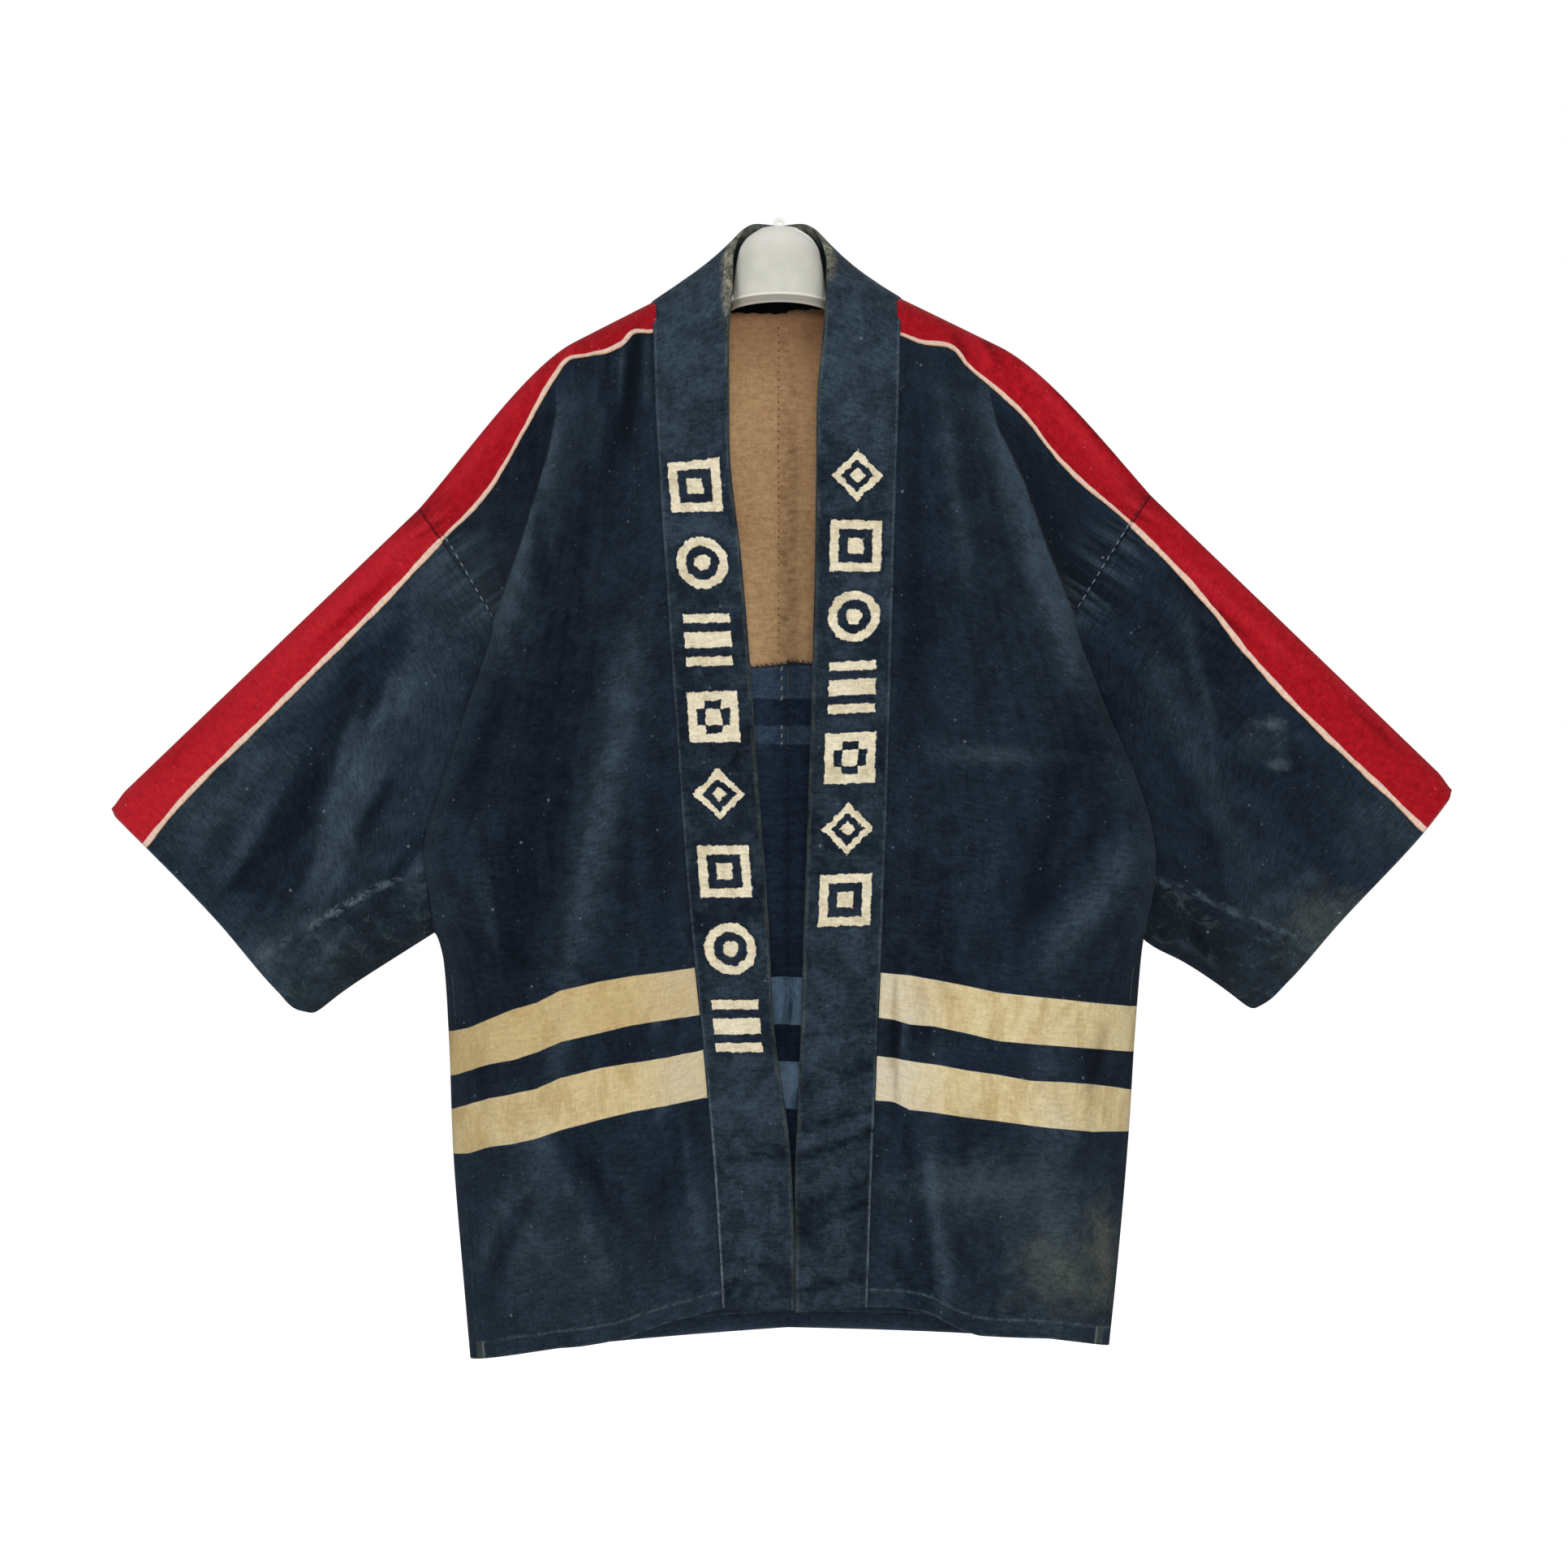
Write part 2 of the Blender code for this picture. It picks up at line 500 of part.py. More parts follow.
def make_hanger():
    """Neck dome, both arms and the hanging eye, moulded in one piece."""
    ring = 18
    angles = [math.tau * k / ring for k in range(ring)]
    levels = np.linspace(0, 1, 9)
    drops = np.interp(levels, np.linspace(0, 1, len(DOME)), [row.drop for row in DOME])
    rings = []
    for drop in drops:
        width = follow(DOME, "half_width", drop, "drop")
        depth = follow(DOME, "half_depth", drop, "drop")
        rings.append([(width * rounded(a, 2.6)[0] * MM, depth * rounded(a, 2.6)[1] * MM, -drop * MM)
                      for a in angles])
    hanger = loft("hanger", "hanger", rings)
    rings = []
    for x in np.linspace(-ARM_REACH, ARM_REACH, 19):
        top = float(follow(ARMS, "top", abs(x), "out"))
        bottom = float(follow(ARMS, "bottom", abs(x), "out"))
        half = float(follow(ARMS, "half", abs(x), "out"))
        middle = (top + bottom) / 2
        height = (bottom - top) / 2
        rings.append([(x * MM, half * rounded(a, 2.5)[0] * MM, (-middle + height * rounded(a, 2.5)[1]) * MM)
                      for a in angles])
    join(hanger, loft("arms", "hanger", rings))
    eye = bmesh.new()
    segments = 16
    made = []
    for y in (-EYE_THICK / 2, EYE_THICK / 2):
        for radius in (EYE_RADIUS, EYE_HOLE):
            made.append([eye.verts.new((radius * math.cos(math.tau * k / segments) * MM, y * MM,
                                        radius * math.sin(math.tau * k / segments) * MM))
                         for k in range(segments)])
    outer_front, inner_front, outer_back, inner_back = made
    for first, second in ((outer_front, inner_front), (inner_front, inner_back), (inner_back, outer_back),
                          (outer_back, outer_front)):
        for j in range(segments):
            k = (j + 1) % segments
            eye.faces.new((first[j], first[k], second[k], second[j]))
    bmesh.ops.recalc_face_normals(eye, faces=eye.faces)
    join(hanger, finish("eye", "hanger", eye))


def make_coat():
    """Fronts, backs, sleeves, collar band and back lining."""
    turn = 1 + np.linspace(0, 1, TURN_COLUMNS + 1)[1:]
    for side in SIDES:
        neck = shoulder_point(side)
        flats = {FRONT: np.linspace(0, 1, FRONT_COLUMNS),
                 BACK: np.concatenate([np.linspace(0, neck, NECK_COLUMNS),
                                       np.linspace(neck, 1, BACK_COLUMNS)[1:]])}
        for kind, face in (("front", FRONT), ("back", BACK)):
            v, u = grid(ROWS, np.concatenate([flats[face], turn]))
            wall(f"{kind}_{side}", kind, panel(side, face, u, v), CLOTH)
        lining_rows = [row for row in ROWS if LINING_TOP <= row <= LINING_BOTTOM]
        v, p = grid(lining_rows, flats[BACK][:LINING_COLUMNS])
        wall(f"lining_{side}", "lining", lining(side, p, v), LINING_THICK)
        w, round_it = grid(SLEEVE_STATIONS, np.arange(SLEEVE_RING) / SLEEVE_RING)
        wall(f"sleeve_{side}", "sleeve", sleeve(side, w, round_it), CLOTH, wrap=True)
    t, c = grid(np.linspace(0, 1, BAND_STATIONS), np.linspace(0, 1, BAND_COLUMNS + 1))
    wall("collar", "collar", band(t, c), BAND_THICK)


for old in list(bpy.data.objects):
    bpy.data.objects.remove(old)
make_hanger()
make_coat()
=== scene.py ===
"""Happi coat of indigo cotton on a moulded hanger, dressed for the studio.

Metres, +Z up, the coat's front towards -Y, the hanging eye at the origin. The coat's tables are in
millimetres: out is the distance from the hanger's middle, drop the distance below the eye, and
depth the distance ahead of or behind the hanger's middle plane. "left" is the -X side and "right"
the +X side, as the coat is seen from the front.
"""
import math
from collections import namedtuple

import bmesh
import bpy
import numpy as np
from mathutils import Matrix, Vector


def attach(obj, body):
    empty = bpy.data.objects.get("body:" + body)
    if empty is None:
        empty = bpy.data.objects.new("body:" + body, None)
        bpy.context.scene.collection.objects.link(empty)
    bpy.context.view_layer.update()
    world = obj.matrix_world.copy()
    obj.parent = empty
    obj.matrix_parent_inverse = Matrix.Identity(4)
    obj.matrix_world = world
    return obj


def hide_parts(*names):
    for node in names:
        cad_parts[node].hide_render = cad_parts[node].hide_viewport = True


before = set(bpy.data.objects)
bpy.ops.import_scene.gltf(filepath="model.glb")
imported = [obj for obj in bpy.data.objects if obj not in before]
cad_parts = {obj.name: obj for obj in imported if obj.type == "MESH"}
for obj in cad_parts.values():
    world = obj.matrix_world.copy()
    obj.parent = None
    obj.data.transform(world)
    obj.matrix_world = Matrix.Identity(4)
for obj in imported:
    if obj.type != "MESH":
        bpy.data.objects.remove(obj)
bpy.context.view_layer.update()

# ---- Studio -------------------------------------------------------------------------------------
# A pale floor just below the hanging coat, a broad soft lamp high on the left, smaller ones in
# front and on the right, two more behind, and an even pale surround. The camera stands square to
# the coat's front.
MM = 0.001
CAMERA_PLACE = (3.9, -2800, -450.5)
CAMERA_LENS, CAMERA_SENSOR = 80.0, 36.0
FLOOR_DROP = 1120
FLOOR_REACH = 30000
FLOOR_COLOUR = (0.42, 0.418, 0.415)
SURROUND_SEEN = 1.0
SURROUND_LIGHT = 0.30
FLOOR_SEEN, FLOOR_GLOW = 0.88, 0.16
# name: place, aim, width, watts, all lengths in millimetres
LAMPS = {
    "key_lamp": ((-2100, -2900, 1300), (0, 0, -420), 1300, 26),
    "front_lamp": ((0, -3400, 50), (0, 0, -420), 500, 28),
    "right_lamp": ((1050, -3300, 200), (0, 0, -420), 700, 19),
    "fill_lamp": ((2300, -2900, 300), (0, 0, -450), 1900, 6),
    "back_lamp": ((600, 2600, 1600), (0, 0, -400), 2000, 30),
    "rear_side_lamp": ((-2600, 1800, 200), (0, 0, -400), 1800, 18),
}


class Recipe:
    """Lays out nodes."""

    def __init__(self, tree):
        self.tree = tree

    def add(self, kind, inputs=None, **settings):
        node = self.tree.nodes.new(kind)
        for name, value in settings.items():
            setattr(node, name, value)
        for name, value in (inputs or {}).items():
            self.feed(node.inputs[name], value)
        return node

    def feed(self, socket, value):
        if isinstance(value, bpy.types.NodeSocket):
            self.tree.links.new(value, socket)
        else:
            socket.default_value = value

    def step(self, value, low, high, below=0.0, above=1.0):
        """Below `low` one value, above `high` another, and smooth between."""
        node = self.add("ShaderNodeMapRange", {"Value": value, "From Min": low, "From Max": high,
                                               "To Min": below, "To Max": above},
                        interpolation_type="SMOOTHSTEP")
        return node.outputs[0]


def new_material(name, recipe=Recipe):
    """A material, the recipe for its nodes, and its shader's sockets."""
    made = bpy.data.materials.new(name)
    made.use_nodes = True
    return made, recipe(made.node_tree), made.node_tree.nodes["Principled BSDF"].inputs


def link(name, data):
    made = bpy.data.objects.new(name, data)
    bpy.context.scene.collection.objects.link(made)
    return made


def set_studio():
    scene = bpy.context.scene
    scene.view_settings.view_transform = "Standard"
    camera = link("camera", bpy.data.cameras.new("camera"))
    camera.data.lens = CAMERA_LENS
    camera.data.sensor_width = CAMERA_SENSOR
    camera.location = [x * MM for x in CAMERA_PLACE]
    camera.rotation_euler = (math.radians(90), 0, 0)
    scene.camera = camera
    for name, (place, aim, width, watts) in LAMPS.items():
        lamp = link(name, bpy.data.lights.new(name, "AREA"))
        lamp.data.shape = "DISK"
        lamp.data.size = width * MM
        lamp.data.energy = watts
        lamp.location = [x * MM for x in place]
        toward = Vector(aim) - Vector(place)
        lamp.rotation_euler = toward.to_track_quat("-Z", "Y").to_euler()
    world = bpy.data.worlds.new("surround")
    world.use_nodes = True
    scene.world = world
    recipe = Recipe(world.node_tree)
    seen = recipe.add("ShaderNodeLightPath").outputs["Is Camera Ray"]
    strength = recipe.step(seen, 0.4, 0.6, SURROUND_LIGHT, SURROUND_SEEN)
    background = world.node_tree.nodes["Background"]
    background.inputs["Color"].default_value = (1, 1, 1, 1)
    recipe.feed(background.inputs["Strength"], strength)
    floor = bpy.data.meshes.new("floor")
    reach = FLOOR_REACH * MM
    corners = [(-reach, -reach), (reach, -reach), (reach, reach), (-reach, reach)]
    floor.from_pydata([(x, y, -FLOOR_DROP * MM) for x, y in corners], [], [(0, 1, 2, 3)])
    paint, ground, shader = new_material("floor_paint")
    shader["Base Color"].default_value = (*FLOOR_COLOUR, 1)
    shader["Roughness"].default_value = 0.9
    shader["Emission Color"].default_value = (1, 1, 1, 1)
    seen = ground.add("ShaderNodeLightPath").outputs["Is Camera Ray"]
    ground.feed(shader["Emission Strength"], ground.step(seen, 0.4, 0.6, FLOOR_GLOW, FLOOR_SEEN))
    floor.materials.append(paint)
    link("floor", floor)


set_studio()

# ---- Body ---------------------------------------------------------------------------------------
# Each half of the body is one length of indigo cotton, hem to hem over the shoulder, cut away at
# the front for the collar band and sewn to its twin down the centre back. It hangs from the
# hanger's arm, and its spare width folds over the sleeve seam.
CLOTH = 1.3            # one layer
SHOULDER_DEPTH = 24
HEM_DEPTH = 52
FOLD_DEPTH = 20
SHOULDER_ROLL = 24
NECK_DEPTH = 40
NECK_DIP = 10
BACK_HEM_DROP = 895
CENTRE_SHIFT = 7
BACK_FOLD_SHARE = 0.6
SLEEVE_LAP_GAP = 4.2
SIDE_SEAM_START = 0.612
TUCK = 2.5             # cloth that goes on into the collar band
SEAM_SINK = 0.9        # how deep a seam draws the cloth in
SEAM_REACH = 2.2
FRONT_COLUMNS = 44
NECK_COLUMNS = 26
FOLD_STEP = 3.6        # how far the cloth steps back beyond the crisp fold over the sleeve
CLOTH_LENGTH = 835     # shoulder fold to hem
HEM_FOLD = 14
PANEL_ROLL = 0.17         # metres across the roll for the flat of a panel
FRONT_ROLL_START = 0.09   # the front is cut away from there to the collar
# Painted shade on the cloth just beyond each front's fold edge over the sleeve, by side
RECESS_SHADE_REACH = {"left": 15, "right": 45}   # how far the dark under the fold reaches
SIDES = {"left": -1, "right": 1}
FRONT, BACK = -1, 1


def named(kind, table):
    """A table, or its left and right parts, with the columns of its rows named."""
    if isinstance(table, dict):
        return {side: named(kind, part) for side, part in table.items()}
    return [kind(*row) for row in table]


Line = namedtuple("Line", "v out drop")
COLLAR_SEAM = named(Line, {
    "left": [(0.0, 101, 64), (0.107, 98, 150), (0.252, 91, 266), (0.437, 81, 414),
             (0.622, 70, 561), (0.740, 60, 655), (0.892, 50, 777), (1.0, 45, 863)],
    "right": [(0.0, 97, 61), (0.111, 95, 150), (0.255, 91, 266), (0.400, 88, 380),
              (0.520, 85, 478), (0.642, 81, 577), (0.785, 76, 691), (1.0, 70, 865)],
})
FOLD_EDGE = named(Line, {
    "left": [(0.0, 178, 103), (0.025, 178, 123), (0.057, 178, 149), (0.140, 195, 216),
             (0.267, 227, 317), (0.363, 253, 394), (0.464, 279, 475), (0.490, 286, 496),
             (0.526, 282, 525), (0.580, 273, 568), (0.622, 269, 602), (0.680, 266, 648),
             (0.807, 262, 750), (0.923, 254, 848), (1.0, 248.5, 911)],
    "right": [(0.0, 190, 106), (0.025, 167, 128), (0.060, 171, 155), (0.108, 190, 192),
              (0.186, 212, 253), (0.262, 235, 313), (0.349, 261, 381), (0.445, 291, 457),
              (0.511, 302, 509), (0.546, 300, 536), (0.587, 294, 568), (0.662, 288, 627),
              (0.798, 281, 734), (0.938, 271, 848), (1.0, 265.5, 900.5)],
})
# The front hems, from the collar to the side seam
Point = namedtuple("Point", "out drop")
HEM_LINE = named(Point, {
    "left": [(45, 864), (70, 870.5), (89, 876), (105, 882), (121, 888), (138, 892), (156, 895.5),
             (176, 898), (195, 902), (215, 906.5), (232, 909.5), (248, 911)],
    "right": [(70, 863), (94, 863.5), (113, 866.5), (122, 870), (130, 874.5), (143, 881.5),
              (158, 886.5), (181, 888.5), (215, 891.5), (242, 897), (265, 900.5)],
})
Seam = namedtuple("Seam", "v s out drop")
ARMHOLE = named(Seam, {
    "left": [(0.0, 0.0, 289, 230), (0.133, 0.145, 258.5, 273), (0.222, 0.241, 238.5, 302),
             (0.267, 0.29, 228, 317), (0.360, 0.50, 231, 394), (0.460, 0.723, 250, 475),
             (0.526, 0.862, 262, 525), (0.580, 1.0, 275, 568)],
    "right": [(0.0, 0.0, 298, 219), (0.131, 0.147, 267, 266), (0.217, 0.244, 246.5, 297),
              (0.262, 0.295, 236, 313), (0.350, 0.488, 240, 387), (0.445, 0.685, 264, 458),
              (0.511, 0.826, 279, 510), (0.587, 1.0, 292, 570)],
})
# How the panel turns at its outer edge: it leaves the flat inset before the fold edge and arrives
# at its seam outward (0 deg), rearward (90) or inward (180)
Turn = namedtuple("Turn", "v inset lead arrive reach fall")
TURN = named(Turn, [
    (0.0, 14, 38, 0, 38, 1.14), (0.12, 14, 26, 0, 22, 1.0), (0.20, 14, 21, 20, 10, 0.6),
    (0.265, 14, 19, 90, 5, 0.0), (0.33, 14, 19, 170, 18, 0.0), (0.40, 14, 19, 180, 28, 0.0),
    (0.50, 14, 19, 180, 30, 0.0), (0.56, 16, 19, 150, 14, 0.0), (0.60, 26, 20, 95, 9, 0.0),
    (0.68, 34, 22, 90, 11, 0.0), (1.0, 34, 22, 90, 12, 0.0),
])
Depth = namedtuple("Depth", "w half")
SLEEVE_DEPTH = named(Depth, [
    (0.0, 8.5), (0.14, 8.8), (0.3, 11.5), (0.55, 14), (0.8, 14), (1.0, 12.5),
])

# Drag folds as soft ridges (+) and troughs (-) along lines on the cloth, the large ones first
Fold = namedtuple("Fold", "out drop to_out to_drop width rise")
FRONT_FOLDS = named(Fold, {
    "left": [
        (108, 100, 168, 303, 12, -4), (168, 322, 224, 640, 17, -5), (112, 320, 165, 600, 13, 4),
        (218, 370, 252, 470, 11, -4), (176, 147, 226, 340, 10, 3), (77, 715, 108, 855, 13, -2.6),
        (190, 700, 205, 850, 16, 3), (116, 88, 120, 190, 5, -1.6), (106, 95, 106, 150, 4, 1.2),
        (140, 130, 150, 300, 7, 1.2), (196, 180, 190, 300, 6, -1.4),
        (130, 610, 120, 690, 9, -1.5), (168, 600, 178, 700, 9, 1.6), (236, 520, 215, 620, 9, 1.4),
        (90, 430, 96, 560, 8, -1.4), (102, 648, 82, 596, 5, 1.3), (118, 668, 92, 612, 4, -1.1),
        (96, 720, 82, 672, 4, 1.0), (124, 96, 127, 150, 3, 1.0), (134, 98, 142, 150, 3.5, -1.2),
        (112, 86, 113, 130, 3, -1.2), (165, 96, 174, 118, 3, 1.0), (222, 800, 232, 880, 6, -1.0),
        (150, 740, 120, 860, 7, -1.6), (196, 128, 286, 240, 5, 1.8),
        (208, 124, 272, 198, 4, -1.8), (232, 170, 276, 200, 3.5, 1.2),
        (170, 720, 88, 850, 8, -1.7), (196, 716, 120, 866, 8, 0.9), (60, 830, 78, 700, 5, 0.8),
        (244, 660, 232, 712, 5, -1.4), (198, 779, 230, 848, 7, -2.0),
        (212, 772, 244, 842, 6, 1.2), (90, 752, 102, 826, 8, -1.2), (60, 850, 86, 832, 4, -1.0),
    ],
    "right": [
        (163, 134, 239, 373, 12, 3.5), (240, 405, 185, 585, 15, -5), (284, 500, 205, 600, 13, 4),
        (106, 160, 108, 420, 9, -2.5), (150, 690, 160, 850, 16, -3.5),
        (210, 650, 225, 860, 16, 3), (110, 600, 116, 660, 6, -1.2), (122, 640, 126, 720, 7, 1.3),
        (120, 520, 140, 640, 9, -1.3), (200, 560, 262, 470, 8, -1.8),
        (120, 420, 200, 432, 7, 0.9), (250, 640, 245, 760, 8, -1.2),
        (92, 592, 93, 712, 3.2, -1.5), (98, 600, 99, 700, 3, 1.0), (138, 90, 150, 112, 3, -1.3),
        (150, 86, 168, 118, 3.5, 1.5), (163, 92, 178, 122, 3, -1.2), (128, 130, 150, 300, 6, 1.1),
        (100, 720, 118, 860, 6, -1.8), (116, 720, 134, 862, 6, 1.4), (204, 128, 292, 232, 5, 1.8),
        (214, 122, 282, 198, 4, -1.8), (196, 118, 216, 132, 3, 1.6),
        (262, 640, 246, 700, 5, -1.6), (90, 640, 88, 676, 3.5, -1.6),
        (200, 700, 250, 742, 6, 1.2), (92, 820, 112, 866, 5, -1.2),
    ],
})
BACK_FOLDS = named(Fold, {
    "left": [
        (95, 120, 190, 420, 18, -5), (150, 250, 215, 620, 18, 5), (60, 500, 85, 850, 20, 4),
        (150, 640, 165, 870, 18, -4), (40, 110, 70, 300, 9, -1.6), (120, 480, 130, 620, 9, 1.6),
    ],
    "right": [
        (100, 130, 200, 440, 18, -5), (160, 260, 235, 600, 18, 5), (75, 450, 70, 850, 20, 4),
        (170, 620, 180, 860, 18, -4), (36, 110, 62, 280, 9, 1.5), (118, 500, 120, 640, 9, -1.5),
    ],
})

# The cream line under the red shoulder stripe, one point after another
STRIPE = named(Point, {
    "left": [(0, 66), (34, 79), (66, 86), (96, 89), (102, 90), (117, 91), (124, 99), (136, 105),
             (156, 109), (168, 111), (178, 123), (201, 161), (221, 196), (231, 212), (271, 255),
             (311, 298), (416, 403), (484, 471), (507, 499), (525, 521)],
    "right": [(0, 66), (34, 79), (66, 86), (92, 91), (99, 93), (111, 98), (139, 103), (151, 117),
              (170, 132), (194, 153), (224, 190), (280, 240), (339, 301), (378, 350), (516, 487),
              (536, 507)],
})
# Upper and lower edges of the two cream bands across each front
Band = namedtuple("Band", "out top_1 bottom_1 top_2 bottom_2")
FRONT_BANDS = named(Band, {
    "left": [(59, 594.5, 632.5, 660, 698), (90, 599, 637, 666.5, 704.5),
             (115, 602, 641, 670.5, 709), (141, 606.5, 647.5, 674.5, 715.5),
             (160, 611, 652, 679.5, 721), (173, 614, 655, 683, 724.5),
             (192, 624, 663.5, 692, 731.5), (212, 630, 670.5, 697, 737),
             (232, 638.5, 674.5, 701.5, 740.5), (248, 645.5, 680, 706.5, 746),
             (262, 648.5, 684.5, 711, 747)],
    "right": [(76, 599, 634.5, 665, 700), (90, 600.5, 636.5, 666.5, 701),
              (103, 601.5, 640.5, 669, 707.5), (122, 605, 642, 671.5, 709.5),
              (148, 610, 647.5, 676.5, 714), (173, 615.5, 654, 680, 717),
              (199, 618.5, 656.5, 685.5, 721), (225, 621.5, 659, 687, 724.5),
              (251, 625, 662, 690.5, 728.5), (282, 628.5, 665, 695.5, 729)],
})
# The same bands across the back, and two plain bars above them
BACK_BANDS = named(Band, {
    "left": [(0, 608, 647, 677, 716), (120, 618, 657, 686, 724), (262, 648.5, 684.5, 711, 747)],
    "right": [(0, 608, 647, 677, 716), (120, 613, 652, 681, 718), (282, 628.5, 665, 695.5, 729)],
})
BACK_BARS = (354, 381, 403, 418)
BACK_BAR_REACH = 118


def curve(x, y, at):
    """Smooth curve through the points x, y, read at the places `at`."""
    slope = np.gradient(y, x)
    at = np.clip(np.asarray(at, float), x[0], x[-1])
    i = np.clip(np.searchsorted(x, at, side="right") - 1, 0, len(x) - 2)
    span = x[i + 1] - x[i]
    t = (at - x[i]) / span
    return ((1 + 2 * t) * (1 - t) ** 2 * y[i] + t * (1 - t) ** 2 * span * slope[i]
            + t * t * (3 - 2 * t) * y[i + 1] + t * t * (t - 1) * span * slope[i + 1])


def follow(table, column, at, key="v"):
    """Smooth curve through one column of a table."""
    x = np.array([getattr(row, key) for row in table], float)
    y = np.array([getattr(row, column) for row in table], float)
    return curve(x, y, at)


def ease(low, high, at):
    """0 below low, 1 above high, smooth between."""
    t = np.clip((np.asarray(at, float) - low) / (high - low), 0, 1)
    return t * t * (3 - 2 * t)


def fold_rise(folds, side, out, drop, steep=False):
    """Height of the side's folds at points on the cloth, or how steep they are."""
    total = np.zeros(np.broadcast(out, drop).shape)
    for fold in folds[side]:
        along_out = fold.to_out - fold.out
        along_drop = fold.to_drop - fold.drop
        length = math.hypot(along_out, along_drop)
        t = ((out - fold.out) * along_out + (drop - fold.drop) * along_drop) / length ** 2
        away = ((out - fold.out) * along_drop - (drop - fold.drop) * along_out) / length
        ends = ease(-0.15, 0.25, t) * (1 - ease(0.7, 1.15, t))
        height = fold.rise / fold.width if steep else fold.rise
        total = total + height * ends * np.exp(-(away / fold.width) ** 2)
    return total


def sleeve_swell(s):
    """0 at the sleeve's top fold and at its lower seam, 1 over most of the way between."""
    return np.sqrt(1 - np.abs(2 * s - 1) ** 6)


def sleeve_half_depth(w, s):
    """Half the gap between the sleeve's layers."""
    return follow(SLEEVE_DEPTH, "half", w, "w") * sleeve_swell(s)


def settle(t):
    """0 to 1, quick at first and level at the end."""
    return 1 - (1 - t) ** 2.2


def panel_depth(v):
    return SHOULDER_DEPTH + (HEM_DEPTH - SHOULDER_DEPTH) * settle(v)


def shoulder_roll(side, v):
    """0 on the shoulder fold, 1 once the cloth hangs: a quarter of an ellipse over the hanger."""
    fold_drop = FOLD_EDGE[side][-1].drop - FOLD_EDGE[side][0].drop
    t = np.clip(v * fold_drop / SHOULDER_ROLL, 0, 1)
    return np.sqrt(1 - (1 - t) ** 2)


def seam_depth(side, v):
    """Depth of the panel's outer edge: on the sleeve's seam, behind its own lap, then at the side."""
    s = follow(ARMHOLE[side], "s", v)
    lapped = sleeve_half_depth(0.0, s) + SLEEVE_LAP_GAP * ease(0.2, 0.34, v)
    under = ease(ARMHOLE[side][-1].v + 0.004, SIDE_SEAM_START, v)
    return lapped * (1 - under)


def panel_edges(side, face, v):
    """Out and drop of the fold edge and of the outer seam of a panel in row v."""
    fold_out = follow(FOLD_EDGE[side], "out", v)
    fold_drop = follow(FOLD_EDGE[side], "drop", v)
    s = follow(ARMHOLE[side], "s", v)
    seam_out = follow(ARMHOLE[side], "out", s, "s")
    seam_drop = follow(ARMHOLE[side], "drop", s, "s")
    if face == BACK:
        lap = np.clip(fold_out - seam_out, 0, None) * (v < SIDE_SEAM_START)
        fold_out = fold_out - lap * (1 - BACK_FOLD_SHARE)
    under = ease(ARMHOLE[side][-1].v, SIDE_SEAM_START, v)
    seam_out = seam_out * (1 - under) + (fold_out - 1) * under
    seam_drop = seam_drop * (1 - under) + fold_drop * under
    return fold_out, fold_drop, seam_out, seam_drop


def hem_shift(side, p):
    """How far the front hem hangs below a plain curve from the collar to the side seam."""
    seam, fold = COLLAR_SEAM[side][-1], FOLD_EDGE[side][-1]
    out = seam.out + (fold.out - TURN[-1].inset - seam.out) * p
    plain = seam.drop + (fold.drop - seam.drop) * settle(p)
    hem = HEM_LINE[side]
    return np.interp(out, [row.out for row in hem], [row.drop for row in hem]) - plain


def panel_face(side, face, p, v):
    """Out, drop and depth of the flat of a panel; p runs from its inner edge, 0, to the turn, 1."""
    fold_out, fold_drop = panel_edges(side, face, v)[:2]
    last_out = fold_out - follow(TURN, "inset", v)
    roll = shoulder_roll(side, v)
    neck = COLLAR_SEAM[side][0]
    tip = FOLD_EDGE[side][0]
    if face == FRONT:
        first_out = follow(COLLAR_SEAM[side], "out", v)
        first_drop = follow(COLLAR_SEAM[side], "drop", v)
        bow = p * (1 - v) + settle(p) * v
        out = first_out + (last_out - first_out) * p
        ridge = neck.drop + (tip.drop - neck.drop) * (out - neck.out) / (tip.out - neck.out)
        plain_top = neck.drop + (tip.drop - neck.drop) * p
        drop = first_drop + (fold_drop - first_drop) * bow + (ridge - plain_top) * (1 - ease(0, 0.12, v))
        drop = drop + ease(0.8, 1.0, v) * hem_shift(side, p)
        depth = roll * (FOLD_DEPTH + (panel_depth(v) - FOLD_DEPTH) * (1 - p ** 3))
        steady = ease(0.0, 0.12, p) * ease(0.01, 0.08, v)
        return out, drop, depth + steady * fold_rise(FRONT_FOLDS, side, out, drop)
    first_out = SIDES[side] * CENTRE_SHIFT
    out = first_out + (last_out - first_out) * p
    ridge = neck.drop + (tip.drop - neck.drop) * (out - neck.out) / (tip.out - neck.out)
    across = np.clip(np.abs(out) / neck.out, 0, 1)
    arc = np.sqrt(1 - across ** 2)
    top = np.where(out < neck.out, neck.drop + NECK_DIP * (1 - across ** 2), ridge)
    plain_top = neck.drop + NECK_DIP + (tip.drop - neck.drop - NECK_DIP) * p
    plain = (neck.drop + NECK_DIP) * (1 - v) + BACK_HEM_DROP * v
    drop = plain + (fold_drop - plain) * p + (top - plain_top) * (1 - ease(0, 0.35, v))
    deep = NECK_DEPTH + (HEM_DEPTH - NECK_DEPTH) * settle(v)
    depth = FOLD_DEPTH + (deep - FOLD_DEPTH) * (1 - p ** 3)
    depth = depth * np.sqrt(1 - (1 - roll ** 2) * (1 - arc ** 2))
    steady = ease(0.0, 0.1, p) * ease(0.02, 0.1, v)
    return out, drop, depth + steady * fold_rise(BACK_FOLDS, side, out, drop)


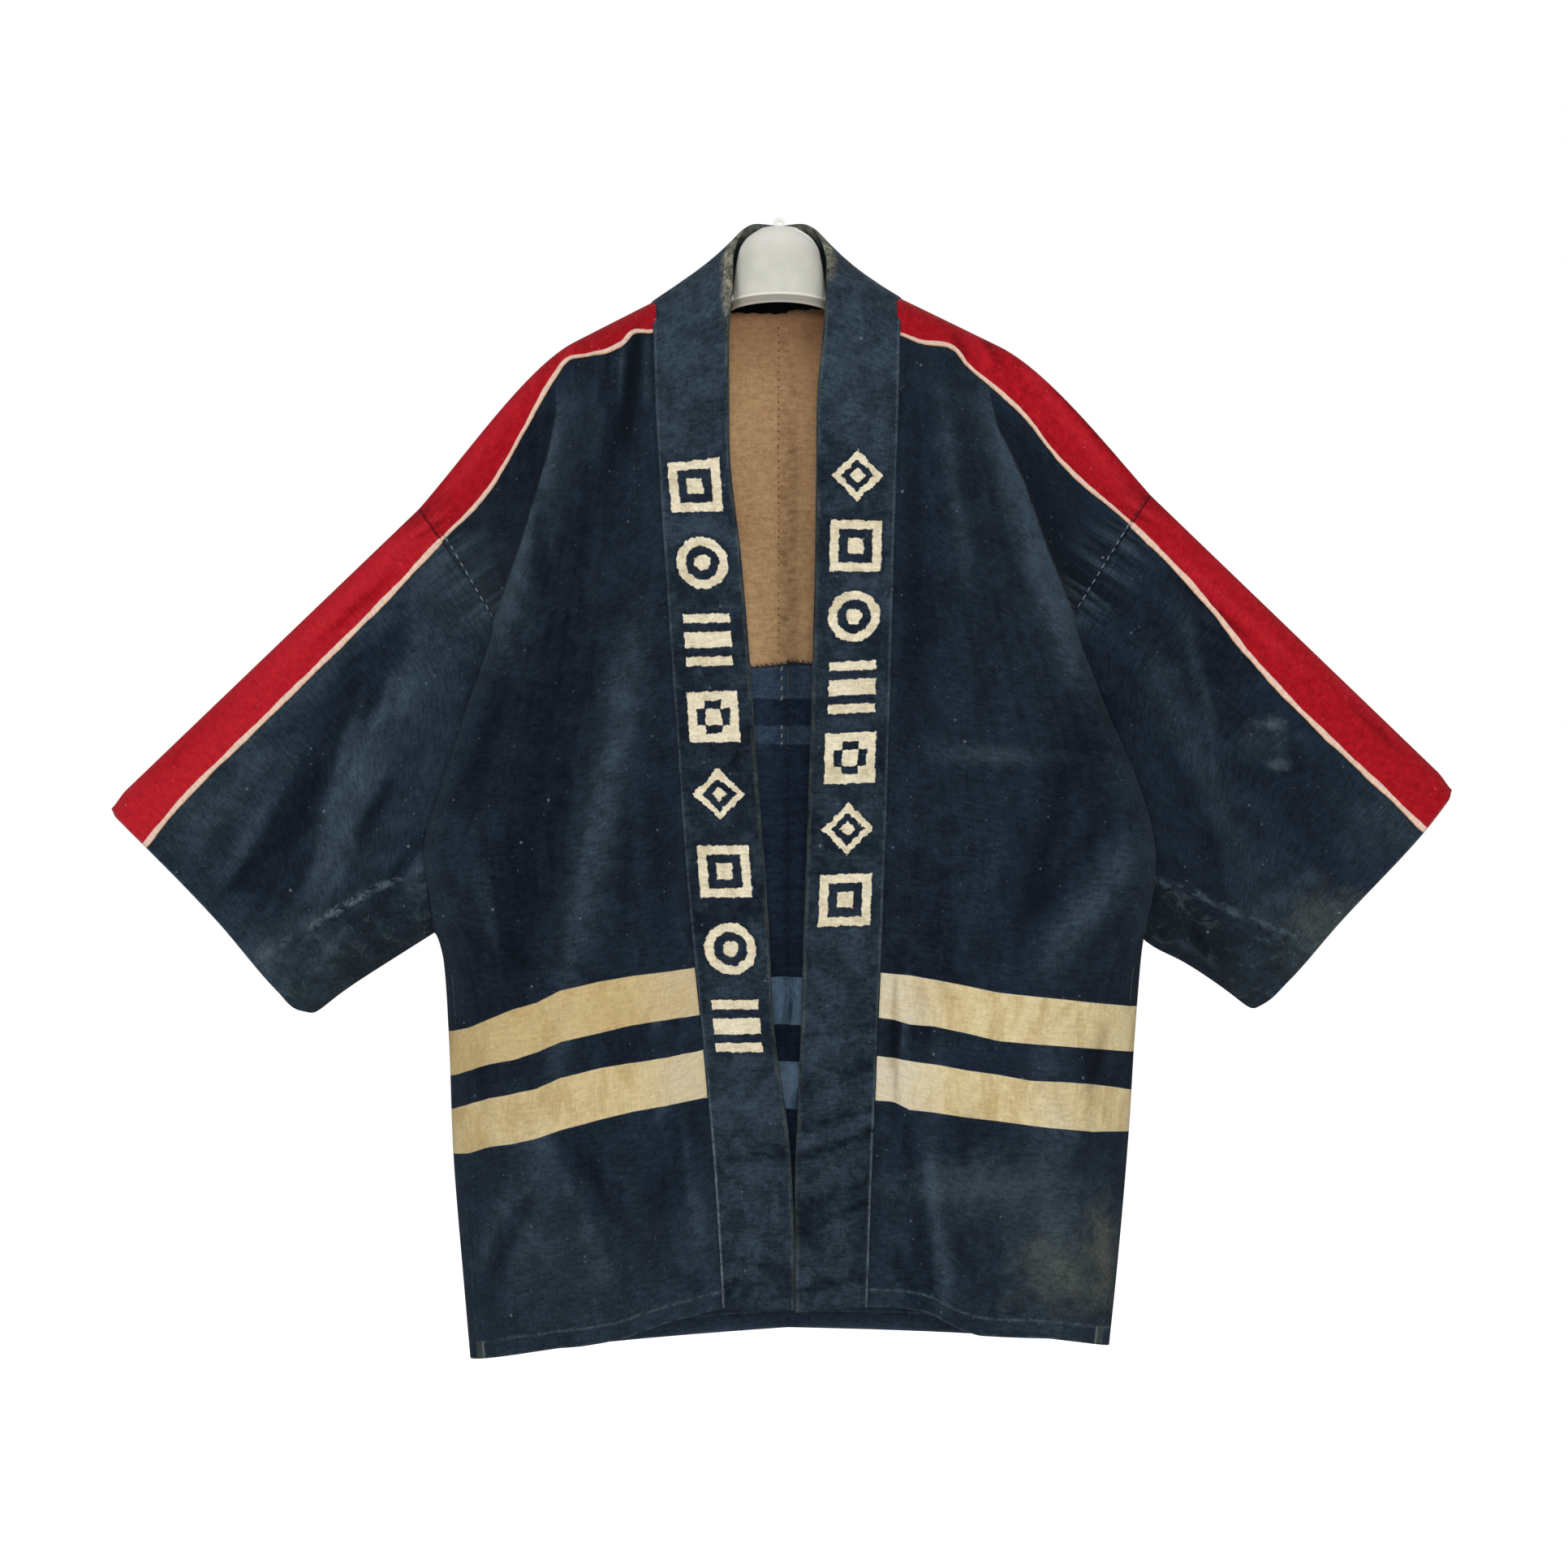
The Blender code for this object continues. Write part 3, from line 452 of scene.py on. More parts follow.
def panel_flat(side, face, u, v):
    """Out, drop and depth of a panel's cloth: u in 0..1 is the flat, 1..2 the turn to its seam."""
    p = np.clip(u, 0, 1)
    q = np.clip(u - 1, 0, 1)
    out, drop, depth = panel_face(side, face, p, v)
    near_out, near_drop, near_depth = panel_face(side, face, 0.98, v)
    end_out, end_drop, end_depth = panel_face(side, face, 1.0, v)
    seam_out, seam_drop = panel_edges(side, face, v)[2:]
    run = end_out - near_out
    lead = follow(TURN, "lead", v)
    reach = follow(TURN, "reach", v)
    arrive = np.radians(follow(TURN, "arrive", v))
    fall = follow(TURN, "fall", v)
    knots = [
        (end_out, end_drop, end_depth),
        (end_out + lead, end_drop + lead * (end_drop - near_drop) / run,
         end_depth + lead * (end_depth - near_depth) / run),
        (seam_out - reach * np.cos(arrive), seam_drop - reach * fall,
         seam_depth(side, v) + reach * np.sin(arrive)),
        (seam_out, seam_drop, seam_depth(side, v)),
    ]
    weights = [(1 - q) ** 3, 3 * q * (1 - q) ** 2, 3 * q * q * (1 - q), q ** 3]
    turned = [sum(weight * knot[axis] for weight, knot in zip(weights, knots)) for axis in range(3)]
    out, drop, depth = [np.where(u <= 1, flat, bent) for flat, bent in zip((out, drop, depth), turned)]
    beyond = out - panel_edges(side, face, v)[0]
    stepped = ease(0.0, 2.4, beyond) * (1 - ease(0.7, 1.0, q)) - 0.35 * np.exp(-((beyond + 1.5) / 3) ** 2)
    depth = depth - FOLD_STEP * stepped * ease(0.035, 0.08, v) * (1 - ease(0.22, 0.3, v))
    to_seam = (1 - q) * np.maximum(np.hypot(seam_out - end_out, seam_drop - end_drop), 8)
    sunk = np.exp(-(to_seam / SEAM_REACH) ** 2) * (u > 1) * (v < SIDE_SEAM_START)
    sunk = sunk + 0.7 * np.exp(-(p * PANEL_ROLL / MM / SEAM_REACH) ** 2)
    return out, drop, depth - SEAM_SINK * sunk * shoulder_roll(side, v)


def place(side, out, back, drop):
    """World position of a point given in millimetres out, back and below the eye."""
    return np.stack(np.broadcast_arrays(SIDES[side] * out * MM, back * MM, -drop * MM), axis=-1)


def panel(side, face, u, v):
    out, drop, depth = panel_flat(side, face, u, v)
    return place(side, out, face * depth, drop)


def grid(first, second):
    return np.meshgrid(np.asarray(first, float), np.asarray(second, float), indexing="ij")


def along_line(points, out, drop):
    """Signed distance from a line of points, and the distance run along it, both in metres.

    The distance is above zero on the side where the line turns down."""
    best = np.full(out.shape, 1e9)
    signed = np.zeros(out.shape)
    run = np.zeros(out.shape)
    length_before = 0.0
    for a, b in zip(points, points[1:]):
        length = math.hypot(b.out - a.out, b.drop - a.drop)
        across, down = (b.out - a.out) / length, (b.drop - a.drop) / length
        t = np.clip((out - a.out) * across + (drop - a.drop) * down, 0, length)
        away = np.hypot(out - a.out - t * across, drop - a.drop - t * down)
        turn = (drop - a.drop) * across - (out - a.out) * down
        nearer = away < best
        best = np.where(nearer, away, best)
        signed = np.where(nearer, np.where(turn > 0, away, -away), signed)
        run = np.where(nearer, length_before + t, run)
        length_before += length
    return signed * MM, run * MM


def smoothed(points):
    """The same line with six times the points, rounded through them."""
    outs, drops = np.array([(point.out, point.drop) for point in points], float).T
    length = np.concatenate([[0], np.cumsum(np.hypot(np.diff(outs), np.diff(drops)))])
    at = np.interp(np.arange(6 * (len(points) - 1) + 1) / 6, np.arange(len(points)), length)
    return [Point(x, y) for x, y in zip(curve(length, outs, at), curve(length, drops, at))]


def band_count(bands, out, drop):
    """0 to 1 down the upper band, 2 to 3 down the lower one, and smooth beyond them."""
    outs = [row.out for row in bands]
    stops = [np.interp(out, outs, [getattr(row, name) for row in bands])
             for name in ("top_1", "bottom_1", "top_2", "bottom_2")]
    count = (drop - stops[0]) / (stops[1] - stops[0])
    count = np.where(drop > stops[1], 1 + (drop - stops[1]) / (stops[2] - stops[1]), count)
    return np.where(drop > stops[2], 2 + (drop - stops[2]) / (stops[3] - stops[2]), count)


def bar_depth(out, drop):
    """How far inside one of the two bars of the back a point is, in metres; below zero outside."""
    tall = [(bottom - top) / 2 - np.abs(drop - (top + bottom) / 2)
            for top, bottom in (BACK_BARS[:2], BACK_BARS[2:])]
    return np.minimum(np.maximum(*tall), BACK_BAR_REACH - np.abs(out)) * MM


def cut_cloth(name, pieces):
    """One mesh from grids of cloth, each with its points, its place on the roll, and its marks."""
    verts, faces, corners, marks = [], [], [], {}
    start = 0
    for piece in pieces:
        points, roll = piece["points"], piece["roll"]
        rows, columns = points.shape[:2]
        index = start + np.arange(rows * columns).reshape(rows, columns)
        if piece.get("round"):
            index = np.concatenate([index, index[:, :1]], axis=1)
        order = [(slice(None, -1), slice(None, -1)), (slice(None, -1), slice(1, None)),
                 (slice(1, None), slice(1, None)), (slice(1, None), slice(None, -1))]
        if piece["flip"]:
            order = order[::-1]
        faces.append(np.stack([index[o] for o in order], axis=-1).reshape(-1, 4))
        corners.append(np.stack([roll[o] for o in order], axis=2).reshape(-1, 2))
        verts.append(points.reshape(-1, 3))
        for key, value in piece["marks"].items():
            marks.setdefault(key, []).append(np.broadcast_to(value, (rows, columns)).reshape(-1))
        start += rows * columns
    mesh = bpy.data.meshes.new(name)
    mesh.from_pydata(np.concatenate(verts).tolist(), [], np.concatenate(faces).tolist())
    mesh.uv_layers.new(name="roll").data.foreach_set("uv", np.concatenate(corners).ravel())
    for key, value in marks.items():
        layer = mesh.attributes.new(key, "FLOAT", "POINT")
        layer.data.foreach_set("value", np.concatenate(value).astype(np.float32))
    work = bmesh.new()
    work.from_mesh(mesh)
    bmesh.ops.remove_doubles(work, verts=work.verts, dist=1e-6)
    work.to_mesh(mesh)
    work.free()
    mesh.shade_smooth()
    return link(name, mesh)


def give_thickness(piece, thick, materials):
    """Makes one layer of cloth solid, with its outer, inner and edge finish."""
    for material in materials:
        piece.data.materials.append(material)
    solid = piece.modifiers.new("thickness", "SOLIDIFY")
    solid.thickness = thick * MM
    solid.offset = 0
    solid.material_offset = 1
    solid.use_even_offset = False


def dye(red, green, blue):
    """A colour given from 0 to 255 as the eye sees it."""
    return tuple(((c / 255 + 0.055) / 1.055) ** 2.4 if c > 10 else c / 255 / 12.92
                 for c in (red, green, blue)) + (1.0,)


class Finish(Recipe):
    """Lays out the finish of cloth, thread or plastic: its dyes, and how it fades and wears."""

    def math(self, operation, *values, clamp=False):
        node = self.add("ShaderNodeMath", operation=operation, use_clamp=clamp)
        for k, value in enumerate(values):
            self.feed(node.inputs[k], value)
        return node.outputs[0]

    def times(self, first, second):
        return self.math("MULTIPLY", first, second)

    def scaled(self, value, factor, added, clamp=False):
        return self.math("MULTIPLY_ADD", value, factor, added, clamp=clamp)

    def plus(self, first, second, clamp=False):
        return self.math("ADD", first, second, clamp=clamp)

    def less(self, first, second):
        return self.math("SUBTRACT", first, second)

    def most(self, first, second):
        return self.math("MAXIMUM", first, second)

    def size(self, value):
        return self.math("ABSOLUTE", value)

    def fall(self, value, low, high, top=1.0):
        """`top` below `low`, 0 above `high`, and smooth between."""
        return self.step(value, low, high, top, 0.0)

    def blend(self, share, first, second):
        """From the first colour to the second; a colour is a socket or a dye."""
        colours = [dye(*c) if isinstance(c, tuple) else c for c in (first, second)]
        node = self.add("ShaderNodeMix", data_type="RGBA", clamp_factor=True)
        for k, value in ((0, share), (6, colours[0]), (7, colours[1])):
            self.feed(node.inputs[k], value)
        return node.outputs[2]

    def coats(self, colour, *coats):
        """The colour under one coat after another, each a mask and its dye."""
        for mask, coat in coats:
            colour = self.blend(mask, colour, coat)
        return colour

    def noise(self, vector, scale, detail=2.0, roughness=0.5, distortion=0.0):
        node = self.add("ShaderNodeTexNoise", {"Vector": vector, "Scale": scale, "Detail": detail,
                                               "Roughness": roughness, "Distortion": distortion})
        return node.outputs[0]

    def waver(self, vector, scale, amount, roughness=0.5):
        """Unevenness to either side of zero."""
        return self.times(self.less(self.noise(vector, scale, 3.0, roughness), 0.5), amount)

    def stretch(self, vector, scale):
        return self.add("ShaderNodeMapping", {"Vector": vector, "Scale": scale}).outputs[0]

    def mark(self, name):
        """A value that the piece's own mesh carries."""
        return self.add("ShaderNodeAttribute", attribute_name=name).outputs["Fac"]

    def place(self):
        return self.add("ShaderNodeTexCoord").outputs["Object"]

    def roll(self):
        """Place on the roll of cloth, in metres across it and along it."""
        return self.add("ShaderNodeUVMap", uv_map="roll").outputs[0]

    def tint(self, shader, colour, yarn, grain, rough):
        """The cloth's colour, lighter and darker with its yarns, and how rough they are."""
        tinted = self.add("ShaderNodeVectorMath", {0: colour, "Scale": yarn}, operation="SCALE")
        self.feed(shader["Base Color"], tinted.outputs[0])
        self.feed(shader["Roughness"], self.step(grain, 0.0, 1.0, *rough))

    def relief(self, shader, form, deep, weave, strength, fine=0.00022):
        """Soft form of the cloth with its weave on top."""
        soft = self.add("ShaderNodeBump", {"Strength": 1.0, "Distance": deep, "Height": form})
        weave = self.add("ShaderNodeBump", {"Strength": strength, "Distance": fine, "Height": weave,
                                            "Normal": soft.outputs[0]})
        self.feed(shader["Normal"], weave.outputs[0])

    def group(self, tree, inputs):
        node = self.add("ShaderNodeGroup", node_tree=tree)
        for name, value in inputs.items():
            self.feed(node.inputs[name], value)
        return node


def new_group(name, inputs, outputs):
    """A node group with named sockets; gives the recipe, what comes in and what goes out."""
    tree = bpy.data.node_groups.new(name, "ShaderNodeTree")
    kinds = {"v": "NodeSocketVector", "f": "NodeSocketFloat", "c": "NodeSocketColor"}
    for socket, kind in inputs.items():
        tree.interface.new_socket(socket, in_out="INPUT", socket_type=kinds[kind])
    for socket, kind in outputs.items():
        tree.interface.new_socket(socket, in_out="OUTPUT", socket_type=kinds[kind])
    recipe = Finish(tree)
    return tree, recipe, recipe.add("NodeGroupInput").outputs, recipe.add("NodeGroupOutput").inputs


def make_cotton_grain():
    """Plain weave with uneven yarns: a height, and how light each yarn is."""
    tree, r, given, out = new_group("cotton_grain", {"Vector": "v", "Pitch": "f"},
                                    {"Height": "f", "Tone": "f"})
    parts = r.add("ShaderNodeSeparateXYZ", {"Vector": given["Vector"]}).outputs
    warp, weft = [r.math("SINE", r.math("DIVIDE", r.times(part, math.tau), given["Pitch"]))
                  for part in parts[:2]]
    weave = r.times(warp, weft)
    warp_yarn = r.noise(r.stretch(given["Vector"], (1.0, 0.12, 1.0)), 900.0, 3.0, 0.65)
    weft_yarn = r.noise(r.stretch(given["Vector"], (0.16, 1.0, 1.0)), 800.0, 3.0, 0.65)
    nap = r.noise(given["Vector"], 420.0, 3.0, 0.7)
    yarns = r.scaled(warp_yarn, 0.45, r.times(weft_yarn, 0.3))
    tone = r.scaled(nap, 0.35, yarns)
    slub = r.noise(r.stretch(given["Vector"], (0.35, 1.0, 1.0)), 330.0, 4.0, 0.72)
    r.feed(out["Tone"], r.step(r.scaled(slub, 0.8, tone), 0.66, 1.2))
    r.feed(out["Height"], r.scaled(weave, 0.5, tone))
    return tree


def make_dye_mottle():
    """Uneven fading of the dye: wide clouds, and blotches within them."""
    tree, r, given, out = new_group("dye_mottle", {"Vector": "v"}, {"Cloud": "f", "Blotch": "f"})
    wide = r.noise(r.stretch(given["Vector"], (1.0, 1.0, 0.55)), 7.0, 3.0, 0.55, 0.6)
    r.feed(out["Cloud"], r.step(wide, 0.3, 0.72))
    blotch = r.noise(given["Vector"], 46.0, 5.0, 0.68, 0.4)
    r.feed(out["Blotch"], r.step(blotch, 0.36, 0.68))
    return tree


def make_lint():
    """Specks of lint and bare yarn."""
    tree, r, given, out = new_group("lint", {"Vector": "v"}, {"Mask": "f"})
    specks = []
    for scale, low, high, strength in ((30.0, 0.022, 0.050, 0.9), (52.0, 0.022, 0.070, 0.6),
                                       (95.0, 0.03, 0.09, 0.45)):
        cells = r.add("ShaderNodeTexVoronoi", {"Vector": given["Vector"], "Scale": scale})
        specks.append(r.fall(cells.outputs["Distance"], low, high, strength))
    r.feed(out["Mask"], r.most(r.most(specks[0], specks[1]), specks[2]))
    return tree


def make_worn_spot():
    """A patch round a point, broken up at its edge."""
    tree, r, given, out = new_group("worn_spot", {"Vector": "v", "Centre": "v", "Size": "v"},
                                    {"Mask": "f"})
    away = r.add("ShaderNodeVectorMath", {0: given["Vector"], 1: given["Centre"]}, operation="SUBTRACT")
    scaled = r.add("ShaderNodeVectorMath", {0: away.outputs[0], 1: given["Size"]}, operation="DIVIDE")
    length = r.add("ShaderNodeVectorMath", {0: scaled.outputs[0]}, operation="LENGTH").outputs["Value"]
    ragged = r.noise(given["Vector"], 58.0, 6.0, 0.72, 0.4)
    edge = r.scaled(r.less(0.5, ragged), 2.6, length)
    r.feed(out["Mask"], r.fall(edge, -0.2, 1.5))
    return tree


COTTON_GRAIN = make_cotton_grain()
DYE_MOTTLE = make_dye_mottle()
LINT = make_lint()
WORN_SPOT = make_worn_spot()

# Worn and stained places on the coat's outside: middle and reach in millimetres, colour, strength
Spot = namedtuple("Spot", "x y drop wide deep tall colour strength")
OLIVE, WASHED, CHALK = (104, 109, 92), (68, 82, 90), (112, 126, 136)
SPOTS = named(Spot, [
    (236, -30, 836, 50, 60, 44, OLIVE, 0.26), (260, -10, 830, 9, 40, 46, (116, 118, 98), 0.24),
    (222, -30, 834, 20, 60, 18, OLIVE, 0.3), (257, -14, 810, 14, 40, 24, OLIVE, 0.3),
    (237, -24, 854, 24, 50, 10, OLIVE, 0.3), (204, -36, 820, 16, 60, 10, OLIVE, 0.22),
    (208, -40, 788, 80, 60, 60, WASHED, 0.24), (154, -50, 768, 62, 60, 20, (90, 106, 114), 0.3),
    (175, -50, 428, 60, 40, 8, WASHED, 0.25), (-410, -10, 592, 9, 40, 20, CHALK, 0.3),
    (-396, -10, 616, 8, 40, 12, CHALK, 0.25), (-250, -20, 290, 34, 60, 60, WASHED, 0.3),
    (-432, 0, 400, 22, 60, 18, CHALK, 0.2), (-380, 0, 600, 60, 40, 40, WASHED, 0.4),
    (393, -12, 402, 15, 30, 6, CHALK, 0.36), (396, -12, 435, 12, 30, 5, CHALK, 0.28),
    (384, -12, 418, 20, 30, 16, WASHED, 0.3), (440, -10, 566, 34, 40, 30, OLIVE, 0.32),
    (420, 0, 590, 70, 60, 50, WASHED, 0.22), (500, 0, 480, 50, 60, 50, WASHED, 0.25),
    (-490, 0, 450, 30, 60, 44, WASHED, 0.38), (-150, -60, 830, 100, 60, 50, WASHED, 0.2),
    (-160, 50, 330, 80, 60, 120, WASHED, 0.25), (150, 50, 760, 100, 60, 90, WASHED, 0.25),
    (-120, 50, 820, 120, 60, 60, WASHED, 0.25),
])
# Dyes of the outside and of the reverse, where the bands were left undyed on one side only
Dyes = namedtuple("Dyes", "deep mid faded red red_light line line_rim band band_stain band_clean bar")
OUTSIDE = Dyes((11, 18, 29), (32, 46, 61), (66, 82, 95), (160, 11, 25), (194, 27, 40),
               (244, 208, 190), (214, 176, 138), (231, 213, 165), (208, 183, 131), (224, 213, 186),
               (216, 198, 152))
REVERSE = Dyes((28, 40, 58), (48, 64, 86), (66, 82, 100), (92, 22, 34), (120, 34, 44),
               (80, 88, 98), (70, 80, 90), (134, 166, 198), (64, 88, 114), (126, 154, 180),
               (69, 88, 110))


# What the parts of the indigo's finish share
Ground = namedtuple("Ground", "place across roll mottle fade waver pulls seam_line")


def read_ground(r):
    """Reads the cloth's place, its wear and painted fold shading, and the painted light and shade of the
    drag lines that run from the armhole's seam.
    """
    place_on, roll, run, away = r.place(), r.roll(), r.mark("seam_run"), r.mark("seam_away")
    pulls = r.add("ShaderNodeCombineXYZ", {"X": r.times(run, 120.0), "Y": r.times(away, 14.0)})
    pulls = r.less(r.step(r.noise(pulls.outputs[0], 1.0, 3.0, 0.6, 0.5), 0.32, 0.68), 0.5)
    return Ground(place_on, r.add("ShaderNodeSeparateXYZ", {0: place_on}).outputs["X"], roll,
                  r.group(DYE_MOTTLE, {"Vector": place_on}).outputs, r.mark("fade"),
                  r.waver(place_on, 90.0, 0.0016), r.times(pulls, r.fall(away, 0.0, 0.042)),
                  r.fall(away, 0.0004, 0.0018, 0.75))


def indigo(r, dyes, ground):
    """Dye that took unevenly, with painted shade in the troughs of the cloth's folds and paler ridges,
    partly rubbed wear and partly painted light.
    """
    mottle, fade = ground.mottle, ground.fade
    streak = r.noise(r.stretch(ground.roll, (95.0, 9.0, 1.0)), 1.0, 4.0, 0.6, 0.4)
    blotch = r.scaled(mottle["Blotch"], 0.45, r.times(mottle["Cloud"], 0.6))
    blotch = r.scaled(r.step(streak, 0.32, 0.7), 0.3, r.times(blotch, 0.8))
    # Below zero the fold and wear mark paints shade into the folds' troughs and beyond the fold edges, down
    # to near black at its lowest; above zero it pales the dye, partly as wear and partly as painted light on
    # the folds' ridges.
    return r.coats(r.blend(blotch, dyes.deep, dyes.mid),
                   (r.times(fade, -1.0), dyes.deep),
                   (r.scaled(fade, -1.5, -0.75), (4, 7, 12)),
                   (r.times(fade, r.scaled(mottle["Blotch"], 0.5, 0.5)), dyes.faded),
                   # Paler and darker streaks by the armhole seam: painted light and shade of the drag lines
                   # there.
                   (ground.pulls, dyes.faded),
                   (r.times(ground.pulls, -1.3), dyes.deep),
                   (ground.seam_line, (8, 11, 18)))


def worn_spots(r, colour, place_on):
    for spot in SPOTS:
        mask = r.group(WORN_SPOT, {
            "Vector": place_on, "Centre": (spot.x * MM, spot.y * MM, -spot.drop * MM),
            "Size": (spot.wide * MM, spot.deep * MM, spot.tall * MM)}).outputs[0]
        colour = r.blend(r.times(mask, spot.strength), colour, spot.colour)
    return colour


def undyed_bands(r, dyes, outside, colour, ground):
    """The two hem bands and the bars of the back, and a mask of the bands."""
    fade, blotch = ground.fade, ground.mottle["Blotch"]
    count = r.mark("bands")
    upper = r.times(r.step(count, -0.012, 0.012), r.fall(count, 0.988, 1.012))
    lower = r.times(r.step(count, 1.988, 2.012), r.fall(count, 2.988, 3.012))
    band = r.plus(upper, lower, clamp=True)
    stain = r.step(r.noise(r.stretch(ground.place, (1.6, 1.0, 0.6)), 34.0, 6.0, 0.7, 0.5), 0.42, 0.66)
    resist = r.fall(r.math("PINGPONG", count, 0.5), 0.012, 0.035, 0.4)
    undyed = r.coats(r.blend(stain, dyes.band, dyes.band_stain),
                     (r.times(r.mark("clean"), r.step(blotch, 0.1, 0.9, 1.0, 0.55)), dyes.band_clean),
                     (resist, dyes.band_clean),
                     # Painted shade in the folds' troughs across the bands, and paler ridges, partly wear
                     # and partly painted light.
                     (r.times(fade, -0.7), (146, 126, 90)),
                     (r.times(fade, 0.5), dyes.band_clean))
    if outside:      # the two halves of the coat were cut from different lengths of cloth
        left_half = r.fall(ground.across, (CENTRE_SHIFT - 1) * MM, (CENTRE_SHIFT + 1) * MM, 0.48)
        left_half = r.times(left_half, r.scaled(lower, -0.55, 1.12))
        undyed = r.blend(left_half, undyed, (196, 166, 108))
    bars = r.step(r.plus(r.mark("bars"), ground.waver), -0.0003, 0.0003)
    bar = r.blend(r.times(stain, 0.35), dyes.bar, dyes.band_stain if outside else dyes.deep)
    return r.blend(bars, r.blend(band, colour, undyed), bar), band


def shoulder_stripe(r, dyes, colour, ground):
    """The red stripe and the cream line under it, and how far inside the line a point lies."""
    fade = ground.fade
    red = r.step(r.noise(ground.place, 150.0, 4.0, 0.6), 0.2, 0.9)
    red = r.coats(r.blend(red, dyes.red, dyes.red_light),
                  (r.fall(ground.across, -0.50, -0.33, 0.28), (216, 42, 54)),
                  # Painted shade in the folds' troughs on the red, and paler ridges, partly wear and partly
                  # painted light.
                  (r.times(fade, -0.9), (104, 6, 18)),
                  (r.times(fade, 0.6), (206, 40, 54)),
                  # Painted light and shade of the drag lines by the armhole seam.
                  (r.times(ground.pulls, -1.0), (98, 6, 16)),
                  (ground.pulls, (206, 44, 56)),
                  (ground.seam_line, (86, 6, 14)))
    stripe, half = r.plus(r.mark("stripe"), ground.waver), r.mark("line_half")
    inside = r.less(stripe, half)
    cream = r.blend(r.step(r.times(inside, -1.0), 0.0004, 0.0014), dyes.line_rim, dyes.line)
    colour = r.coats(colour, (r.fall(inside, 0.0004, 0.0016, 0.55), dyes.deep),
                     (r.fall(inside, -0.0003, 0.0004), cream),
                     (r.fall(r.plus(stripe, half), -0.0004, 0.0003), red))
    return colour, inside


def folded_allowance(r, colour, place_on):
    """Below the ridge of the allowance folded up inside, the sleeve is darker and greener, with its
    wrinkles' light and shade painted in.
    """
    under = r.fall(r.mark("allowance"), -0.0045, 0.0005)
    wrinkle = r.noise(r.stretch(place_on, (0.9, 1.0, 1.3)), 68.0, 5.0, 0.68, 0.8)
    # Painted light and shade of the wrinkles: paler and darker patches.
    colour = r.coats(colour, (r.times(under, 0.3), (22, 31, 33)),
                     (r.times(under, r.step(wrinkle, 0.52, 0.68, 0.0, 0.4)), (78, 92, 98)),
                     (r.times(under, r.fall(wrinkle, 0.34, 0.46, 0.5)), (12, 18, 24)))
    return colour, under, wrinkle


def worn_edges(r, outside, colour, ground):
    """Paler wear along the hem, its stitch line, the side and the ridge of the allowance."""
    place_on, hem, side = ground.place, r.mark("hem"), r.mark("side")
    if not outside:
        colour = r.blend(r.fall(hem, 0.016, 0.050, 0.6), colour, (64, 80, 96))
    wide_waver = r.waver(place_on, 22.0, 0.009)
    hem_line = r.less(r.plus(hem, r.times(wide_waver, 0.35)), HEM_FOLD * MM)
    thread_line = r.fall(r.size(hem_line), 0.0003, 0.0020)
    edge = r.fall(r.plus(hem, ground.waver), 0.0004, 0.0022)
    side_line = r.fall(r.size(r.plus(side, ground.waver)), 0.0004, 0.0016)
    ridge_line = r.fall(r.size(r.plus(r.mark("allowance"), wide_waver)), 0.0006, 0.0052)
    rub_spots = r.step(r.noise(r.stretch(place_on, (1.0, 1.0, 1.3)), 105.0, 6.0, 0.76, 0.5), 0.43, 0.6)
    worn = r.most(r.times(thread_line, 0.26), r.times(edge, 0.3))
    worn = r.most(worn, r.times(side_line, 0.22))
    worn = r.times(worn, r.step(r.noise(place_on, 150.0, 4.0, 0.65), 0.38, 0.6, 0.12, 1.0))
    ridge_worn = r.times(r.times(ridge_line, rub_spots), r.mark("ridge_wear"))
    worn = r.most(worn, r.times(ridge_worn, 0.66))
    colour = r.blend(worn, colour, (108, 124, 134))
    if outside:
        below_line = r.fall(hem_line, -0.0004, 0.0006)
        corner = r.times(r.fall(side, 0.0055, 0.0062), below_line)
        corner_rim = r.times(r.fall(r.size(r.less(side, 0.0058)), 0.0004, 0.0012), below_line)
        colour = r.coats(colour, (r.times(corner, 0.6), (78, 86, 80)),
                         (r.times(corner_rim, 0.55), (126, 136, 132)))
    return colour, thread_line, side_line, ridge_line


